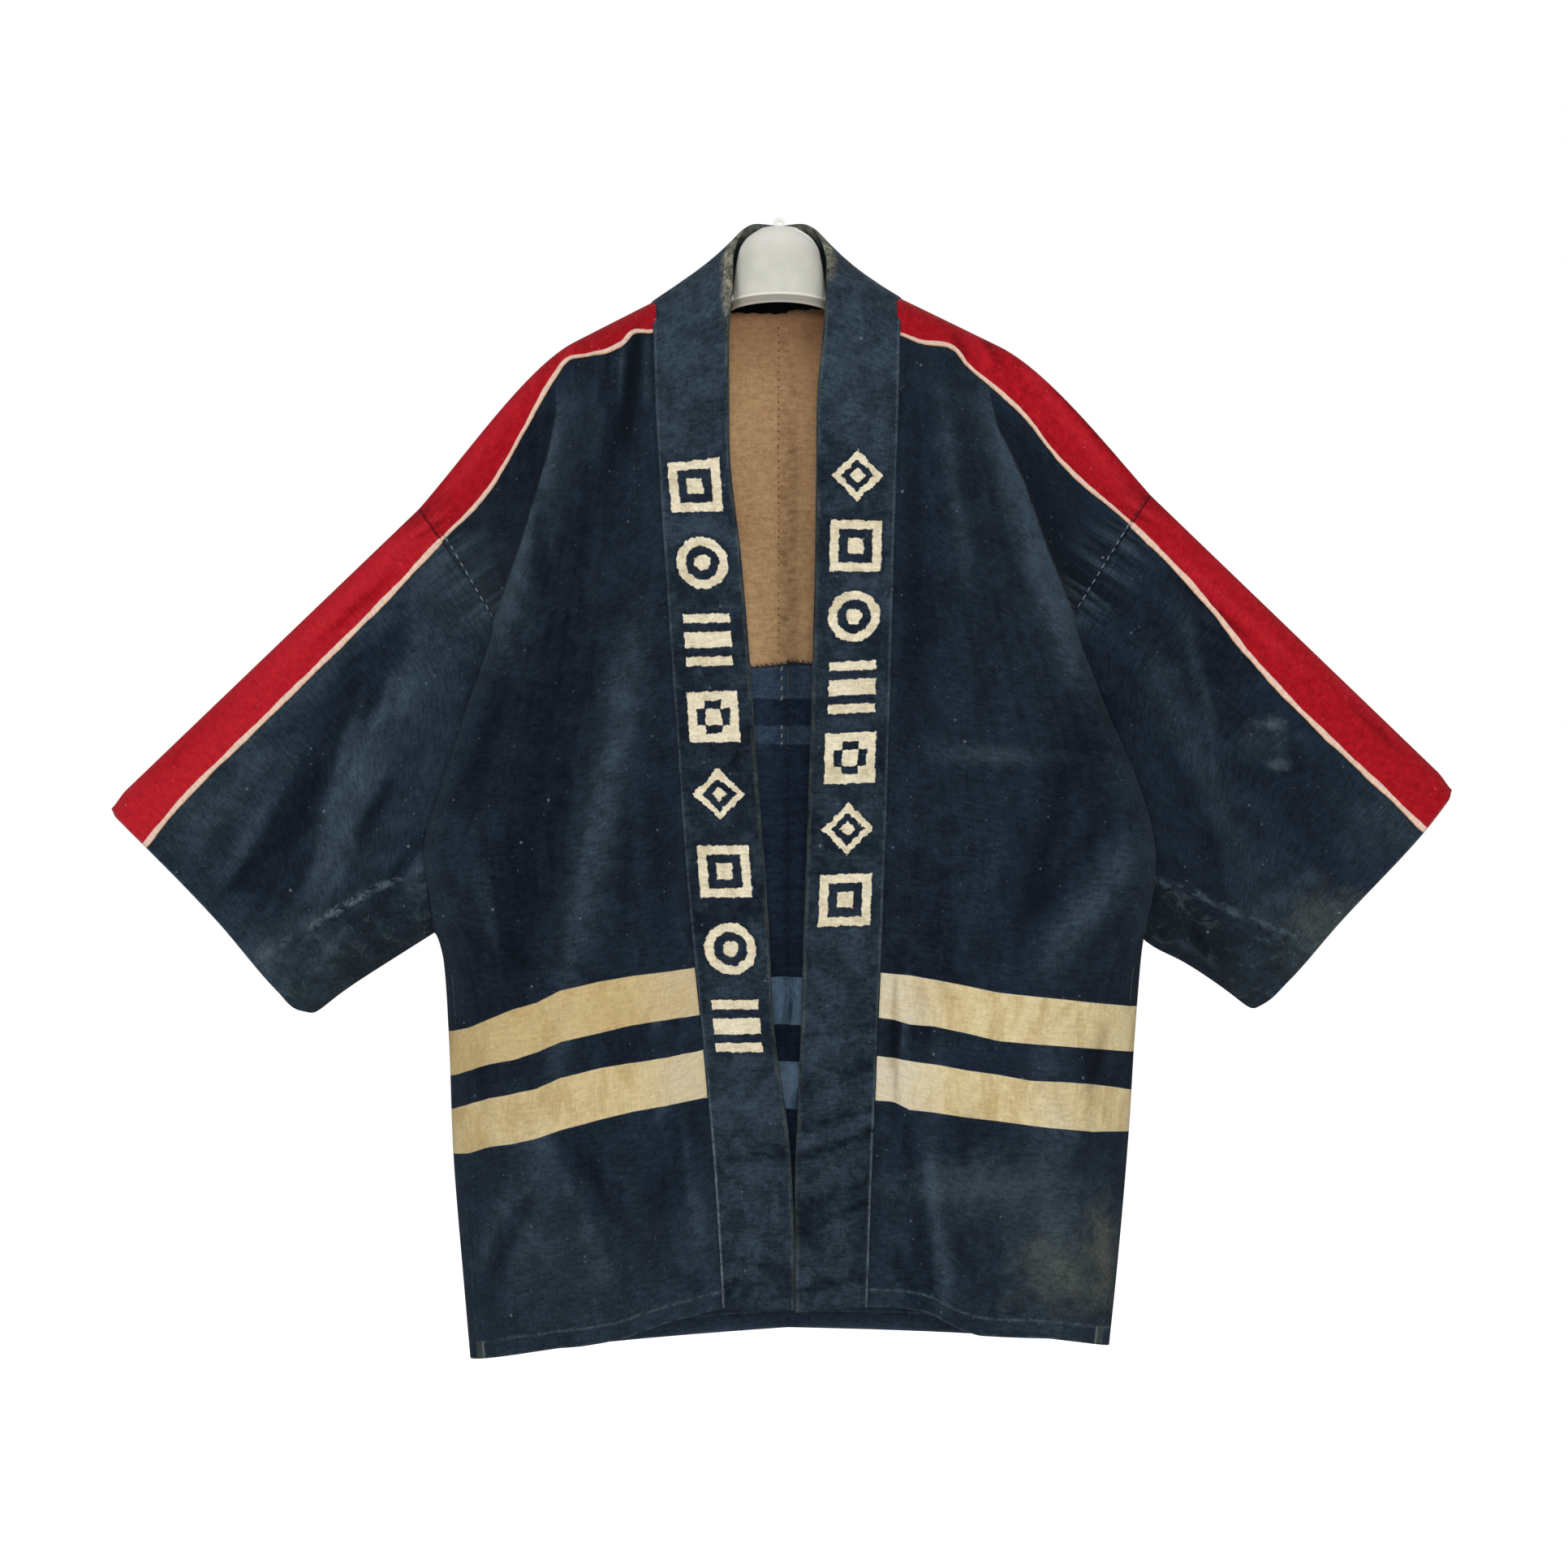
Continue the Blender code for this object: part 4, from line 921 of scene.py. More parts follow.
def indigo_cloth(name, dyes, outside):
    """Indigo cotton with its red shoulder stripe, cream line and bands, its dye worn pale, and light and
    shade painted on its folds and by its seam.
    """
    made, r, shader = new_material(name, Finish)
    ground = read_ground(r)
    colour = indigo(r, dyes, ground)
    if outside:
        colour = worn_spots(r, colour, ground.place)
    colour, band = undyed_bands(r, dyes, outside, colour, ground)
    colour, inside = shoulder_stripe(r, dyes, colour, ground)
    colour, under, wrinkle = folded_allowance(r, colour, ground.place)
    colour, thread_line, side_line, ridge_line = worn_edges(r, outside, colour, ground)
    speck = r.group(LINT, {"Vector": ground.place}).outputs[0]
    colour = r.blend(r.times(speck, 0.42 if outside else 0.2), colour, (150, 158, 164))

    grain = r.group(COTTON_GRAIN, {"Vector": ground.roll, "Pitch": 0.0011}).outputs
    even = r.scaled(r.fall(inside, -0.0003, 0.0004), 0.8, band, clamp=True)
    yarn = r.scaled(grain["Tone"], r.scaled(even, -0.56, 0.9), r.scaled(even, 0.29, 0.52))
    r.tint(shader, colour, yarn, grain["Tone"], (0.98, 0.84))
    shader["Sheen Weight"].default_value = 0.04
    shader["Sheen Roughness"].default_value = 0.45
    shader["Specular IOR Level"].default_value = 0.1

    uneven = r.scaled(r.noise(ground.place, 60.0, 2.0), 0.012, r.mark("seam_run"))
    pucker = r.times(r.fall(r.mark("seam_away"), 0.0, 0.020),
                     r.math("SINE", r.times(uneven, math.tau / 0.0085)))
    crumple = r.noise(r.stretch(ground.place, (1.0, 1.0, 0.6)), 26.0, 4.0, 0.55, 0.3)
    form = r.scaled(pucker, 0.30, crumple)
    for line, height in ((thread_line, -0.2), (side_line, 0.12), (r.times(under, wrinkle), 0.9),
                         (ridge_line, 0.3)):
        form = r.scaled(line, height, form)
    r.relief(shader, form, 0.0022, grain["Height"], 0.8)
    return made


INDIGO = indigo_cloth("indigo_outside", OUTSIDE, True)
INDIGO_REVERSE = indigo_cloth("indigo_reverse", REVERSE, False)


def body_marks(side, face, u, v):
    """What the dyer and the years left on a panel of the body, and the light and shade painted on its folds.
    """
    out, drop, _ = panel_flat(side, face, u, v)
    fold_out = panel_edges(side, face, v)[0]
    bands = band_count((FRONT_BANDS if face == FRONT else BACK_BANDS)[side], out, drop)
    seam_away, seam_run = along_line(ARMHOLE[side][:4], out, drop)
    folds = FRONT_FOLDS if face == FRONT else BACK_FOLDS
    # Painted light on the folds' ridges and painted shade in their troughs, stronger where the folds are
    # steep.
    relief = np.clip(2.1 * fold_rise(folds, side, out, drop, steep=True), -0.8, 0.6)
    beyond = out - fold_out
    lapping = ease(0.03, 0.07, v) * (1 - ease(0.58, 0.62, v))
    # Paler where the cloth turns to the fold edge over the sleeve: wear along the crease, and a painted
    # highlight.
    turned = 0.42 * np.exp(-np.clip(-beyond, 0, None) / 19) * (beyond < 0.8) * lapping
    turned = turned * (1 - 0.6 * ease(0.26, 0.4, v))
    # Painted shade on the cloth just beyond the fold edge, where it falls back to the sleeve seam.
    recess_shade = ease(0, 1.5, beyond) * np.exp(-beyond / RECESS_SHADE_REACH[side])
    recess_shade = recess_shade * ease(0.03, 0.07, v) * (v < 0.45)
    low = 0.16 * ease(0.75, 1.0, v)
    return {
        "stripe": along_line(smoothed(STRIPE[side]), out, drop)[0],
        "line_half": 0.00165 + 0.0003 * np.sin(out / 9),
        "bands": bands,
        "bars": bar_depth(out, drop) if face == BACK else np.full(out.shape, -1.0),
        "clean": (1 - ease(0.08, 0.36, np.clip(u, 0, 1))) * (face == FRONT),
        "hem": (1 - v) * CLOTH_LENGTH * MM,
        "side": np.where((v > 0.62) & (u < 1.6), (fold_out - out - 7) * MM, 1.0),
        "allowance": np.full(out.shape, 1.0),
        "ridge_wear": np.zeros(out.shape),
        "fade": np.clip(0.06 + relief + turned + low - recess_shade, -1, 1),
        "seam_run": seam_run,
        "seam_away": np.where(v < 0.3, np.abs(seam_away), 1.0),
    }


def body_rows():
    near = np.array([0, 0.0008, 0.002, 0.0036, 0.0056, 0.008, 0.011, 0.0145, 0.0185, 0.023, 0.028])
    return np.concatenate([near, np.linspace(0.0325, 0.98, 200), [0.986, 0.992, 0.997, 1.0]])


def make_body(side):
    """Half the body, front and back in one cloth."""
    outs = panel_face(side, BACK, np.array([0.0, 1.0]), np.zeros(2))[0]
    neck = float((COLLAR_SEAM[side][0].out - outs[0]) / (outs[1] - outs[0]))
    turn = 1 + np.concatenate([np.linspace(0, 0.4, 20)[1:], np.linspace(0.4, 0.94, 11)[1:],
                               [0.97, 0.99, 1.0]])
    flat = np.linspace(0, 1, FRONT_COLUMNS)
    round_neck = np.linspace(0, neck, NECK_COLUMNS)[:-1]
    columns = {FRONT: np.concatenate([flat, turn]),
               BACK: np.concatenate([round_neck, neck + (1 - neck) * flat, turn])}
    pieces = []
    for face in (FRONT, BACK):
        v, u = grid(body_rows(), columns[face])
        points = panel(side, face, u, v)
        marks = body_marks(side, face, u, v)
        roll = np.stack([u * PANEL_ROLL + (face == FRONT) * FRONT_ROLL_START,
                         -face * v * CLOTH_LENGTH * MM], axis=-1)
        if face == FRONT:
            tuck = points[:, :1] - np.array([SIDES[side] * TUCK * MM, 0, 0])
            points = np.concatenate([tuck, points], axis=1)
            roll = np.concatenate([roll[:, :1] - [TUCK * MM, 0], roll], axis=1)
            marks = {key: np.concatenate([value[:, :1], value], axis=1) for key, value in marks.items()}
        pieces.append({"points": points, "roll": roll, "marks": marks, "flip": SIDES[side] * face < 0})
    body = cut_cloth(f"body_{side}", pieces)
    give_thickness(body, CLOTH, (INDIGO, INDIGO_REVERSE))
    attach(body, "root")
    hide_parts(f"front_{side}", f"back_{side}")


for side in SIDES:
    make_body(side)

# ---- Sleeves ------------------------------------------------------------------------------------
# Each sleeve is a length of the same cotton folded along its top and seamed below, set straight on
# to the body. It hangs flat, its mouth open, with a narrow hem turned in at the mouth.
Mouth = namedtuple("Mouth", "s out drop")
CUFF = named(Mouth, {
    "left": [(0.0, 539, 470), (0.18, 509, 499), (0.56, 449, 561), (0.875, 401, 617),
             (0.955, 388, 630), (1.0, 378, 633)],
    "right": [(0.0, 543, 455), (0.18, 517, 488), (0.56, 449, 561), (0.875, 406, 610),
              (0.955, 392, 624), (1.0, 382, 630)],
})
SLEEVE_FOLDS = named(Fold, {
    "left": [
        (284, 330, 360, 510, 13, 3.5), (320, 335, 430, 545, 15, -4), (405, 420, 470, 500, 12, 3),
        (309, 446, 336, 494, 5, -1.5), (285, 494, 318, 539, 5, -1.5),
        (390, 479, 446, 540, 6, -1.6), (315, 434, 379, 539, 6, 1.5),
        (372, 500, 404, 560, 5, -1.2), (340, 500, 372, 560, 5, 1.1),
        (296, 330, 318, 420, 5, -1.2), (330, 360, 352, 440, 5, 1.0),
        (330, 578, 352, 606, 4, -1.2), (344, 566, 372, 596, 4, 1.1),
        (470, 405, 510, 448, 4, -1.0), (486, 412, 522, 452, 3.5, 0.9),
        (300, 300, 330, 420, 7, -1.2), (345, 400, 372, 540, 7, 1.3), (290, 260, 320, 262, 6, 0.8),
        (382, 560, 352, 590, 7, 1.2), (306, 262, 420, 376, 5, 1.6), (312, 284, 372, 340, 4, -1.4),
        (440, 380, 500, 450, 6, -1.6), (300, 350, 350, 470, 6, 1.4),
        (360, 430, 420, 560, 7, -1.6), (380, 420, 450, 540, 7, 1.6), (285, 500, 300, 545, 6, 1.2),
    ],
    "right": [
        (290, 330, 380, 540, 15, 2), (330, 330, 450, 530, 16, -2.2),
        (455, 385, 505, 432, 4, -0.9), (440, 360, 480, 392, 4, 0.9), (320, 300, 350, 420, 7, 1.2),
        (400, 410, 400, 450, 6, 1.0), (360, 560, 440, 520, 8, 1.0), (310, 420, 350, 520, 8, -1.2),
        (312, 262, 420, 360, 5, 1.6), (316, 284, 380, 338, 4, -1.4),
        (330, 560, 345, 590, 4, -1.3), (318, 575, 352, 598, 3, 1.3), (455, 350, 500, 420, 6, 1.2),
    ],
})
# The top of the allowance that is folded up inside above the lower seam; it shows as a worn ridge
ALLOWANCE = named(Point, {
    "left": [(230, 508), (285, 520), (318, 532), (340, 544), (367, 560), (409, 586), (440, 612)],
    "right": [(250, 505), (303, 527), (335, 540), (366, 553), (400, 568), (429, 579), (470, 592)],
})
BACK_FOLD_SHARE_SLEEVE = 0.7
SLEEVE_LENGTH = 345
SLEEVE_RING = 176
SLEEVE_NEAR_SEAM = [0, 0.003, 0.006, 0.01, 0.015, 0.022]
SLEEVE_ROUND = 0.68    # once round the sleeve, in metres
SLEEVE_FADE, TOP_FADE = {"left": 0.2, "right": 0.06}, {"left": 0.3, "right": 0.0}
# How dark the painted shade on each sleeve is next to its seam, under the body's fold edge
SLEEVE_RECESS_SHADE = {"left": 0.2, "right": 0.45}
CORNER_DROP = {"left": 3.6, "right": 2.2}   # the lower corner of the mouth sags
TIP_IN, TIP_DROP = 3.0, 0.6                 # its upper corner is rounded
SEAM_SAG = {"left": 0.0, "right": 4.6}      # the lower seam sags near the armhole


def sleeve_flat(side, w, turn):
    """Out, drop, depth and s of the sleeve's cloth: w along it, turn round it from its top fold."""
    s = 1 - np.abs(1 - 2 * turn)
    s = 0.5 - 0.5 * np.cos(np.pi * s)
    start_out = follow(ARMHOLE[side], "out", s, "s")
    start_drop = follow(ARMHOLE[side], "drop", s, "s")
    out = start_out + (follow(CUFF[side], "out", s, "s") - start_out) * w
    drop = start_drop + (follow(CUFF[side], "drop", s, "s") - start_drop) * w
    reach = (1 - w) / 0.075
    corner = reach * np.exp(1 - reach)
    drop = drop + CORNER_DROP[side] * corner * ease(0.88, 1.0, s)
    tip = (1 - ease(0.0, 0.05, s)) * ease(0.94, 1.0, w)
    out, drop = out - TIP_IN * tip, drop + TIP_DROP * tip
    near_seam = np.exp(-((w - 0.08) / 0.22) ** 2) * ease(0, 0.02, w)
    drop = drop + SEAM_SAG[side] * ease(0.85, 1.0, s) * near_seam
    share = np.where(turn <= 0.5, 1, BACK_FOLD_SHARE_SLEEVE)
    steady = ease(0.06, 0.2, s) * (1 - ease(0.85, 0.97, s)) * ease(0.15, 0.35, w)
    rise = share * steady * fold_rise(SLEEVE_FOLDS, side, out, drop)
    sunk = SEAM_SINK * np.exp(-(w * SLEEVE_LENGTH / SEAM_REACH) ** 2)
    return out, drop, sleeve_half_depth(w, s) + rise - sunk * sleeve_swell(s), s


def sleeve(side, w, turn):
    out, drop, depth, _ = sleeve_flat(side, w, turn)
    return place(side, out, np.where(turn <= 0.5, FRONT, BACK) * depth, drop)


def make_sleeve(side):
    stations = np.concatenate([SLEEVE_NEAR_SEAM, np.linspace(0.032, 0.975, 84), [0.983, 0.99, 0.996, 1.0]])
    w, turn = grid(stations, np.arange(SLEEVE_RING) / SLEEVE_RING)
    out, drop, _, s = sleeve_flat(side, w, turn)
    fold = np.clip(1 - s * 28, 0, 1) + np.clip(1 - (1 - s) * 22, 0, 1) * 0.6
    # Painted light on the folds' ridges and painted shade in their troughs.
    relief = np.clip(2.3 * fold_rise(SLEEVE_FOLDS, side, out, drop, steep=True), -0.8, 0.65)
    seam_away, seam_run = along_line(ARMHOLE[side][:4], out, drop)
    # Painted shade on the sleeve next to its seam, under the body's fold edge.
    recess_shade = SLEEVE_RECESS_SHADE[side] * np.exp(-w * SLEEVE_LENGTH / 45) * ease(0.1, 0.25, s)
    recess_shade = recess_shade * (1 - ease(0.85, 1, s))
    fade = SLEEVE_FADE[side] + relief + 0.3 * fold + 0.3 * ease(0.5, 1, w) * ease(0.25, 0.9, s)
    fade = fade + TOP_FADE[side] * (1 - ease(0.1, 0.2, s)) - recess_shade
    marks = {
        "stripe": along_line(smoothed(STRIPE[side]), out, drop)[0],
        "line_half": 0.0022 + 0.0003 * np.sin(w * 40),
        "bands": np.full(out.shape, -1.0),
        "bars": np.full(out.shape, -1.0),
        "clean": np.zeros(out.shape),
        "hem": np.minimum((1 - w) * SLEEVE_LENGTH, 9) * MM,
        "side": np.full(out.shape, 1.0),
        "allowance": -along_line(smoothed(ALLOWANCE[side]), out, drop)[0],
        "ridge_wear": (0.9 * np.exp(-((out - 343) / 34) ** 2) + 0.3 if side == "left"
                       else np.full(out.shape, 0.42)) * (turn <= 0.5),
        "fade": np.clip(fade, -1, 1),
        "seam_run": seam_run,
        "seam_away": np.where(w < 0.15, np.abs(seam_away), 1.0),
    }
    _, far = grid(stations, np.arange(SLEEVE_RING + 1) / SLEEVE_RING)
    along = np.broadcast_to(stations[:, None], far.shape)
    roll = np.stack([far * SLEEVE_ROUND, along * SLEEVE_LENGTH * MM], axis=-1)
    made = cut_cloth(f"arm_{side}", [{"points": sleeve(side, w, turn), "roll": roll, "marks": marks,
                                      "flip": side == "left", "round": True}])
    give_thickness(made, CLOTH, (INDIGO, INDIGO_REVERSE))
    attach(made, "root")
    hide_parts(f"sleeve_{side}")


for side in SIDES:
    make_sleeve(side)

# ---- Collar band --------------------------------------------------------------------------------
# One long band of indigo cotton, folded double lengthwise and sewn over the raw edges of the
# fronts and of the back neck. Its motifs were left undyed, and its seam edge has worn pale.
Edge = namedtuple("Edge", "v out front drop")
BAND_EDGE = named(Edge, {
    "left": [(0.0, 39, 0, 24), (0.03, 40, 17, 50), (0.06, 41, 27, 84), (0.107, 41, 34, 136),
             (0.17, 40, 39, 196), (0.252, 32, 42, 265), (0.355, 25, 45, 347), (0.478, 18, 47, 446),
             (0.593, 11, 49, 538), (0.749, 3, 51, 662), (0.815, -5, 52, 716),
             (0.907, -10, 53, 790), (1.0, -11, 54, 865)],
    "right": [(0.0, 40, 0, 26), (0.03, 39, 17, 50), (0.06, 37, 27, 84), (0.107, 32, 34, 136),
              (0.17, 31, 39, 196), (0.255, 30, 42, 265), (0.355, 28, 45, 347),
              (0.478, 25, 47, 446), (0.62, 21, 49, 561), (0.745, 18, 51, 662),
              (0.876, 14, 53, 765), (1.0, 14, 54, 867)],
})
# The same edge round the back of the neck, from the shoulder, 0 degrees, to the centre back, 90
NeckEdge = namedtuple("NeckEdge", "turn out back drop")
NECK_EDGE = named(NeckEdge, [
    (0, 39, 0, 25), (28, 34, 13, 9), (52, 26, 23, 1.5), (90, 0, 30, 1),
])
NECK_GAP = 0.3
BAND_HALF = 1.5        # half the thickness of the doubled band
BAND_STATIONS = 420
OUTER_COLUMNS, INNER_COLUMNS = 26, 10
BAND_SEAM_EDGE = (-0.8, 0, 0.8)   # points across the edge sewn to the coat, in half thicknesses
BAND_ROUND = 0.125     # once round its section, in metres
FRONT_START = 12       # ahead of this the band is on a front, behind it round the neck
# Creases across the band: side, drop on its seam, drop on its fold, width, rise
Crease = namedtuple("Crease", "side seam_drop fold_drop width rise")
BAND_CREASES = named(Crease, [
    ("right", 724, 746, 2.6, -2.2), ("right", 706, 722, 2.4, -1.5), ("right", 778, 806, 2.8, -1.8),
    ("right", 838, 850, 3, -1.4), ("left", 822, 836, 3, -1.3), ("left", 748, 742, 3, -1.2),
    ("right", 640, 650, 3, -1.3), ("left", 345, 352, 3, -1.0), ("right", 715, 737, 7, 1.2),
    ("right", 669, 694, 9, -1.1), ("right", 764, 787, 6, -1.0), ("right", 560, 566, 12, 0.8),
    ("right", 300, 290, 20, 1.0), ("left", 850, 842, 7, -1.2), ("left", 700, 716, 14, 0.9),
    ("left", 560, 548, 16, -0.8), ("left", 240, 250, 16, 0.8), ("left", 420, 424, 10, -0.7),
    ("right", 430, 424, 12, -0.7),
])
# Motifs on each leg of the band: drop of the first one's top, how far apart, how many, first shape
Motifs = namedtuple("Motifs", "drop pitch count first")
MOTIFS = {"left": Motifs(184, 61, 8, 1), "right": Motifs(178, 56, 7, 0)}
MOTIF_HALF = 21.5


def shoulder_point(side, turn=0):
    """How far across the top of the back panel the neck seam lies, turn degrees round the neck."""
    outs = panel_face(side, BACK, np.array([0.0, 1.0]), np.zeros(2))[0]
    neck_out = COLLAR_SEAM[side][0].out * math.cos(math.radians(turn))
    return float((neck_out - outs[0]) / (outs[1] - outs[0]))


def band_leg(side):
    """Outer seam and inner edge of the band down one front, from the shoulder to the hem."""
    outer, inner = [], []
    for edge in BAND_EDGE[side]:
        out, drop, depth = panel_face(side, FRONT, np.array(0.0), np.array(edge.v))
        lift = NECK_GAP * (1 - ease(0.0, 0.1, edge.v))
        outer.append(place(side, out - lift, -depth, drop - lift))
        inner.append(place(side, edge.out, -edge.front, edge.drop))
    return outer, inner


def band_neck(side):
    """Outer seam and inner edge of the band round one half of the back neck, from the shoulder."""
    outer, inner = [], []
    for row in NECK_EDGE[1:]:
        across = math.cos(math.radians(row.turn))
        out, drop, depth = panel_face(side, BACK, np.array(shoulder_point(side, row.turn)), np.array(0.0))
        lift = NECK_GAP * (0.7 + 0.3 * across)
        outer.append(place(side, out - NECK_GAP * across, depth, drop - lift))
        inner.append(place(side, row.out, row.back, row.drop))
    return outer, inner


def unit(vectors):
    return vectors / np.maximum(np.linalg.norm(vectors, axis=-1, keepdims=True), 1e-9)


def band_frame(t):
    """Seam point and across vector of the band at the stations t, and the length run to each."""
    rims = []
    for k in (0, 1):
        left = band_leg("left")[k][::-1] + band_neck("left")[k]
        right = band_neck("right")[k][-2::-1] + band_leg("right")[k]
        rims.append(np.array(left + right))
    middle = (rims[0] + rims[1]) / 2
    length = np.concatenate([[0], np.cumsum(np.linalg.norm(np.diff(middle, axis=0), axis=1))])
    seam, edge = [np.stack([curve(length / length[-1], rim[:, axis], t) for axis in range(3)], axis=-1)
                  for rim in rims]
    return seam, edge - seam, t * length[-1]


def motif_masks(r, place_on):
    """Diamonds, squares, rings, bars and checks down each leg, and a faint rim round each."""
    ragged = r.waver(place_on, 200.0, 0.2, 0.6)
    run = r.mark("motif_run")
    x = r.plus(r.size(r.mark("motif_across")), ragged)
    y = r.times(r.less(r.math("FRACT", run), 0.5), r.mark("motif_tall"))
    y = r.plus(r.size(y), ragged)
    on = r.times(r.math("GREATER_THAN", run, 0.0), r.mark("motif_face"))
    on = r.times(on, r.math("LESS_THAN", run, r.mark("motif_count")))
    kind = r.math("MODULO", r.plus(r.math("FLOOR", run), r.mark("motif_first")), 5.0)
    cut = r.times(r.math("GREATER_THAN", x, 0.86), 9.0)
    bars = r.most(y, cut)
    ring = r.math("SQRT", r.scaled(x, x, r.times(y, y)))
    square = r.most(x, y)
    checks = r.times(r.less(x, 0.3), r.less(y, 0.3))
    checks = r.most(r.step(checks, -0.004, 0.004, 0.45, 0.75), r.times(square, 1.02))
    shapes = (r.plus(x, y), square, ring, bars, checks)
    reach = 0.0
    for k, shape in enumerate(shapes):
        reach = r.scaled(r.math("COMPARE", kind, float(k), 0.3), shape, reach)
    frame_part = r.times(r.step(reach, 0.60, 0.64), r.fall(reach, 0.93, 0.97))
    motif = r.plus(frame_part, r.fall(reach, 0.27, 0.31), clamp=True)
    motif = r.times(motif, on)
    halo = r.times(r.fall(reach, 1.0, 1.14), on)
    return motif, halo


def make_band_cloth():
    made, r, shader = new_material("band_cloth", Finish)
    place_on, roll = r.place(), r.roll()
    grain = r.group(COTTON_GRAIN, {"Vector": roll, "Pitch": 0.001}).outputs
    mottle = r.group(DYE_MOTTLE, {"Vector": place_on}).outputs
    across = r.mark("across")
    streak = r.noise(r.stretch(roll, (60.0, 5.0, 1.0)), 1.0, 4.0, 0.6, 0.3)
    share = r.scaled(streak, 0.5, r.times(mottle["Blotch"], 0.5))
    fade = r.mark("fade")
    fray = r.step(r.noise(r.stretch(place_on, (1.0, 1.0, 0.7)), 190.0, 5.0, 0.7, 0.5), 0.36, 0.66)
    colour = r.coats(r.blend(r.step(share, 0.25, 0.75), (16, 26, 36), (37, 49, 60)),
                     # Below zero the fold and wear mark paints shade into the band's creases; above zero it
                     # pales the band, partly as wear and partly as painted light on its ridges.
                     (r.times(fade, -1.0), (8, 13, 20)),
                     (r.times(fade, r.scaled(mottle["Blotch"], 0.5, 0.5)), (62, 78, 92)),
                     # Painted shadow on the band's inner face behind the neck, under the hanger's dome.
                     (r.times(r.mark("recess_shade"), 0.9), (14, 17, 20)),
                     (r.times(r.mark("olive"), r.step(mottle["Blotch"], 0.0, 0.5, 0.7, 1.0)),
                      r.blend(fray, (72, 72, 58), (178, 174, 154))))

    motif, halo = motif_masks(r, place_on)
    stain = r.step(r.noise(place_on, 60.0, 4.0, 0.6), 0.4, 0.75)
    colour = r.coats(colour, (r.times(halo, 0.45), (24, 33, 50)),
                     (motif, r.blend(stain, (240, 229, 200), (212, 199, 164))))

    rub = r.step(r.noise(r.stretch(roll, (200.0, 40.0, 1.0)), 1.0, 4.0, 0.65), 0.35, 0.65)
    seam_edge = r.times(r.fall(across, 0.012, 0.055), r.mark("seam_wear"))
    flecks = r.step(r.noise(r.stretch(place_on, (1.0, 1.0, 0.6)), 150.0, 4.0, 0.7), 0.30, 0.66, 0.3, 1.0)
    fold_edge = r.fall(r.size(r.less(across, 1.0)), 0.0, 0.05)
    speck = r.group(LINT, {"Vector": place_on}).outputs[0]
    colour = r.coats(colour, (r.times(seam_edge, flecks), (130, 144, 152)),
                     (r.times(r.times(fold_edge, r.mark("fold_wear")), rub), (112, 118, 104)),
                     (r.times(speck, 0.4), (150, 158, 164)))
    yarn = r.scaled(grain["Tone"], r.scaled(motif, -0.6, 1.1), r.scaled(motif, 0.33, 0.42))
    r.tint(shader, colour, yarn, grain["Tone"], (0.96, 0.8))
    shader["Sheen Weight"].default_value = 0.05
    shader["Sheen Roughness"].default_value = 0.4
    shader["Specular IOR Level"].default_value = 0.1
    ripple = r.noise(r.stretch(roll, (14.0, 40.0, 1.0)), 1.0, 3.0, 0.55, 0.4)
    r.relief(shader, ripple, 0.0013, grain["Height"], 0.8)
    return made


BAND_CLOTH = make_band_cloth()


# Where each station of the band lies: its seam, the way across to its fold, and its run
Course = namedtuple("Course", "seam across run left front drop")


def lay_band():
    seam, across, run = band_frame(np.linspace(0, 1, BAND_STATIONS))
    return Course(seam, across, run, seam[:, 0] < 0, seam[:, 1] < -FRONT_START * MM,
                  -(seam + across / 2)[:, 2] / MM)


def band_section():
    """Round the band's section: share of its width, millimetres past its fold, and height."""
    fold = np.linspace(0, np.pi, 9)[1:-1]
    share = np.concatenate([np.linspace(0.012, 1, OUTER_COLUMNS), np.ones(len(fold)),
                            np.linspace(1, 0.02, INNER_COLUMNS), np.zeros(len(BAND_SEAM_EDGE))])
    beyond = np.concatenate([np.zeros(OUTER_COLUMNS), np.sin(fold) * BAND_HALF, np.zeros(INNER_COLUMNS),
                             np.full(len(BAND_SEAM_EDGE), -0.25)])
    height = np.concatenate([np.full(OUTER_COLUMNS, BAND_HALF), np.cos(fold) * BAND_HALF,
                             np.full(INNER_COLUMNS, -BAND_HALF), np.array(BAND_SEAM_EDGE) * BAND_HALF])
    return share, beyond, height


def band_bulge(course, reach):
    """How far the band stands out: its creases, its belly and slow waves along it."""
    run = course.run[:, None]
    down = -(course.seam[:, None, 2] + course.across[:, None, 2] * reach) / MM
    bulge = np.zeros(down.shape)
    for crease in BAND_CREASES:
        line = crease.seam_drop + (crease.fold_drop - crease.seam_drop) * reach
        here = (course.front & (course.left == (crease.side == "left")))[:, None]
        bulge += crease.rise * here * np.exp(-((down - line) / crease.width) ** 2)
    soft = 0.5 * np.sin(run * 24 + 1.3 * reach) + 0.35 * np.sin(run * 61 + 2.6 * reach + 1)
    belly = 0.7 * np.sin(np.pi * reach) * (0.6 + 0.4 * np.sin(run * 9))
    return bulge + belly + soft * reach


def motif_marks(course, reach, outer):
    """Which motif a point lies in, and where in it."""
    leg_drop = np.where(course.front, course.drop, -1.0)[:, None]
    motif = {key: np.where(course.left, getattr(MOTIFS["left"], key), getattr(MOTIFS["right"], key))[:, None]
             for key in Motifs._fields}
    width = np.linalg.norm(course.across, axis=1)[:, None]
    return {
        "motif_run": (leg_drop - motif["drop"]) / motif["pitch"],
        "motif_face": outer * 1.0,
        "motif_tall": motif["pitch"] / MOTIF_HALF,
        "motif_count": motif["count"] * 1.0,
        "motif_first": motif["first"] * 1.0,
        "motif_across": (reach - 0.5) * width / (MOTIF_HALF * MM),
    }


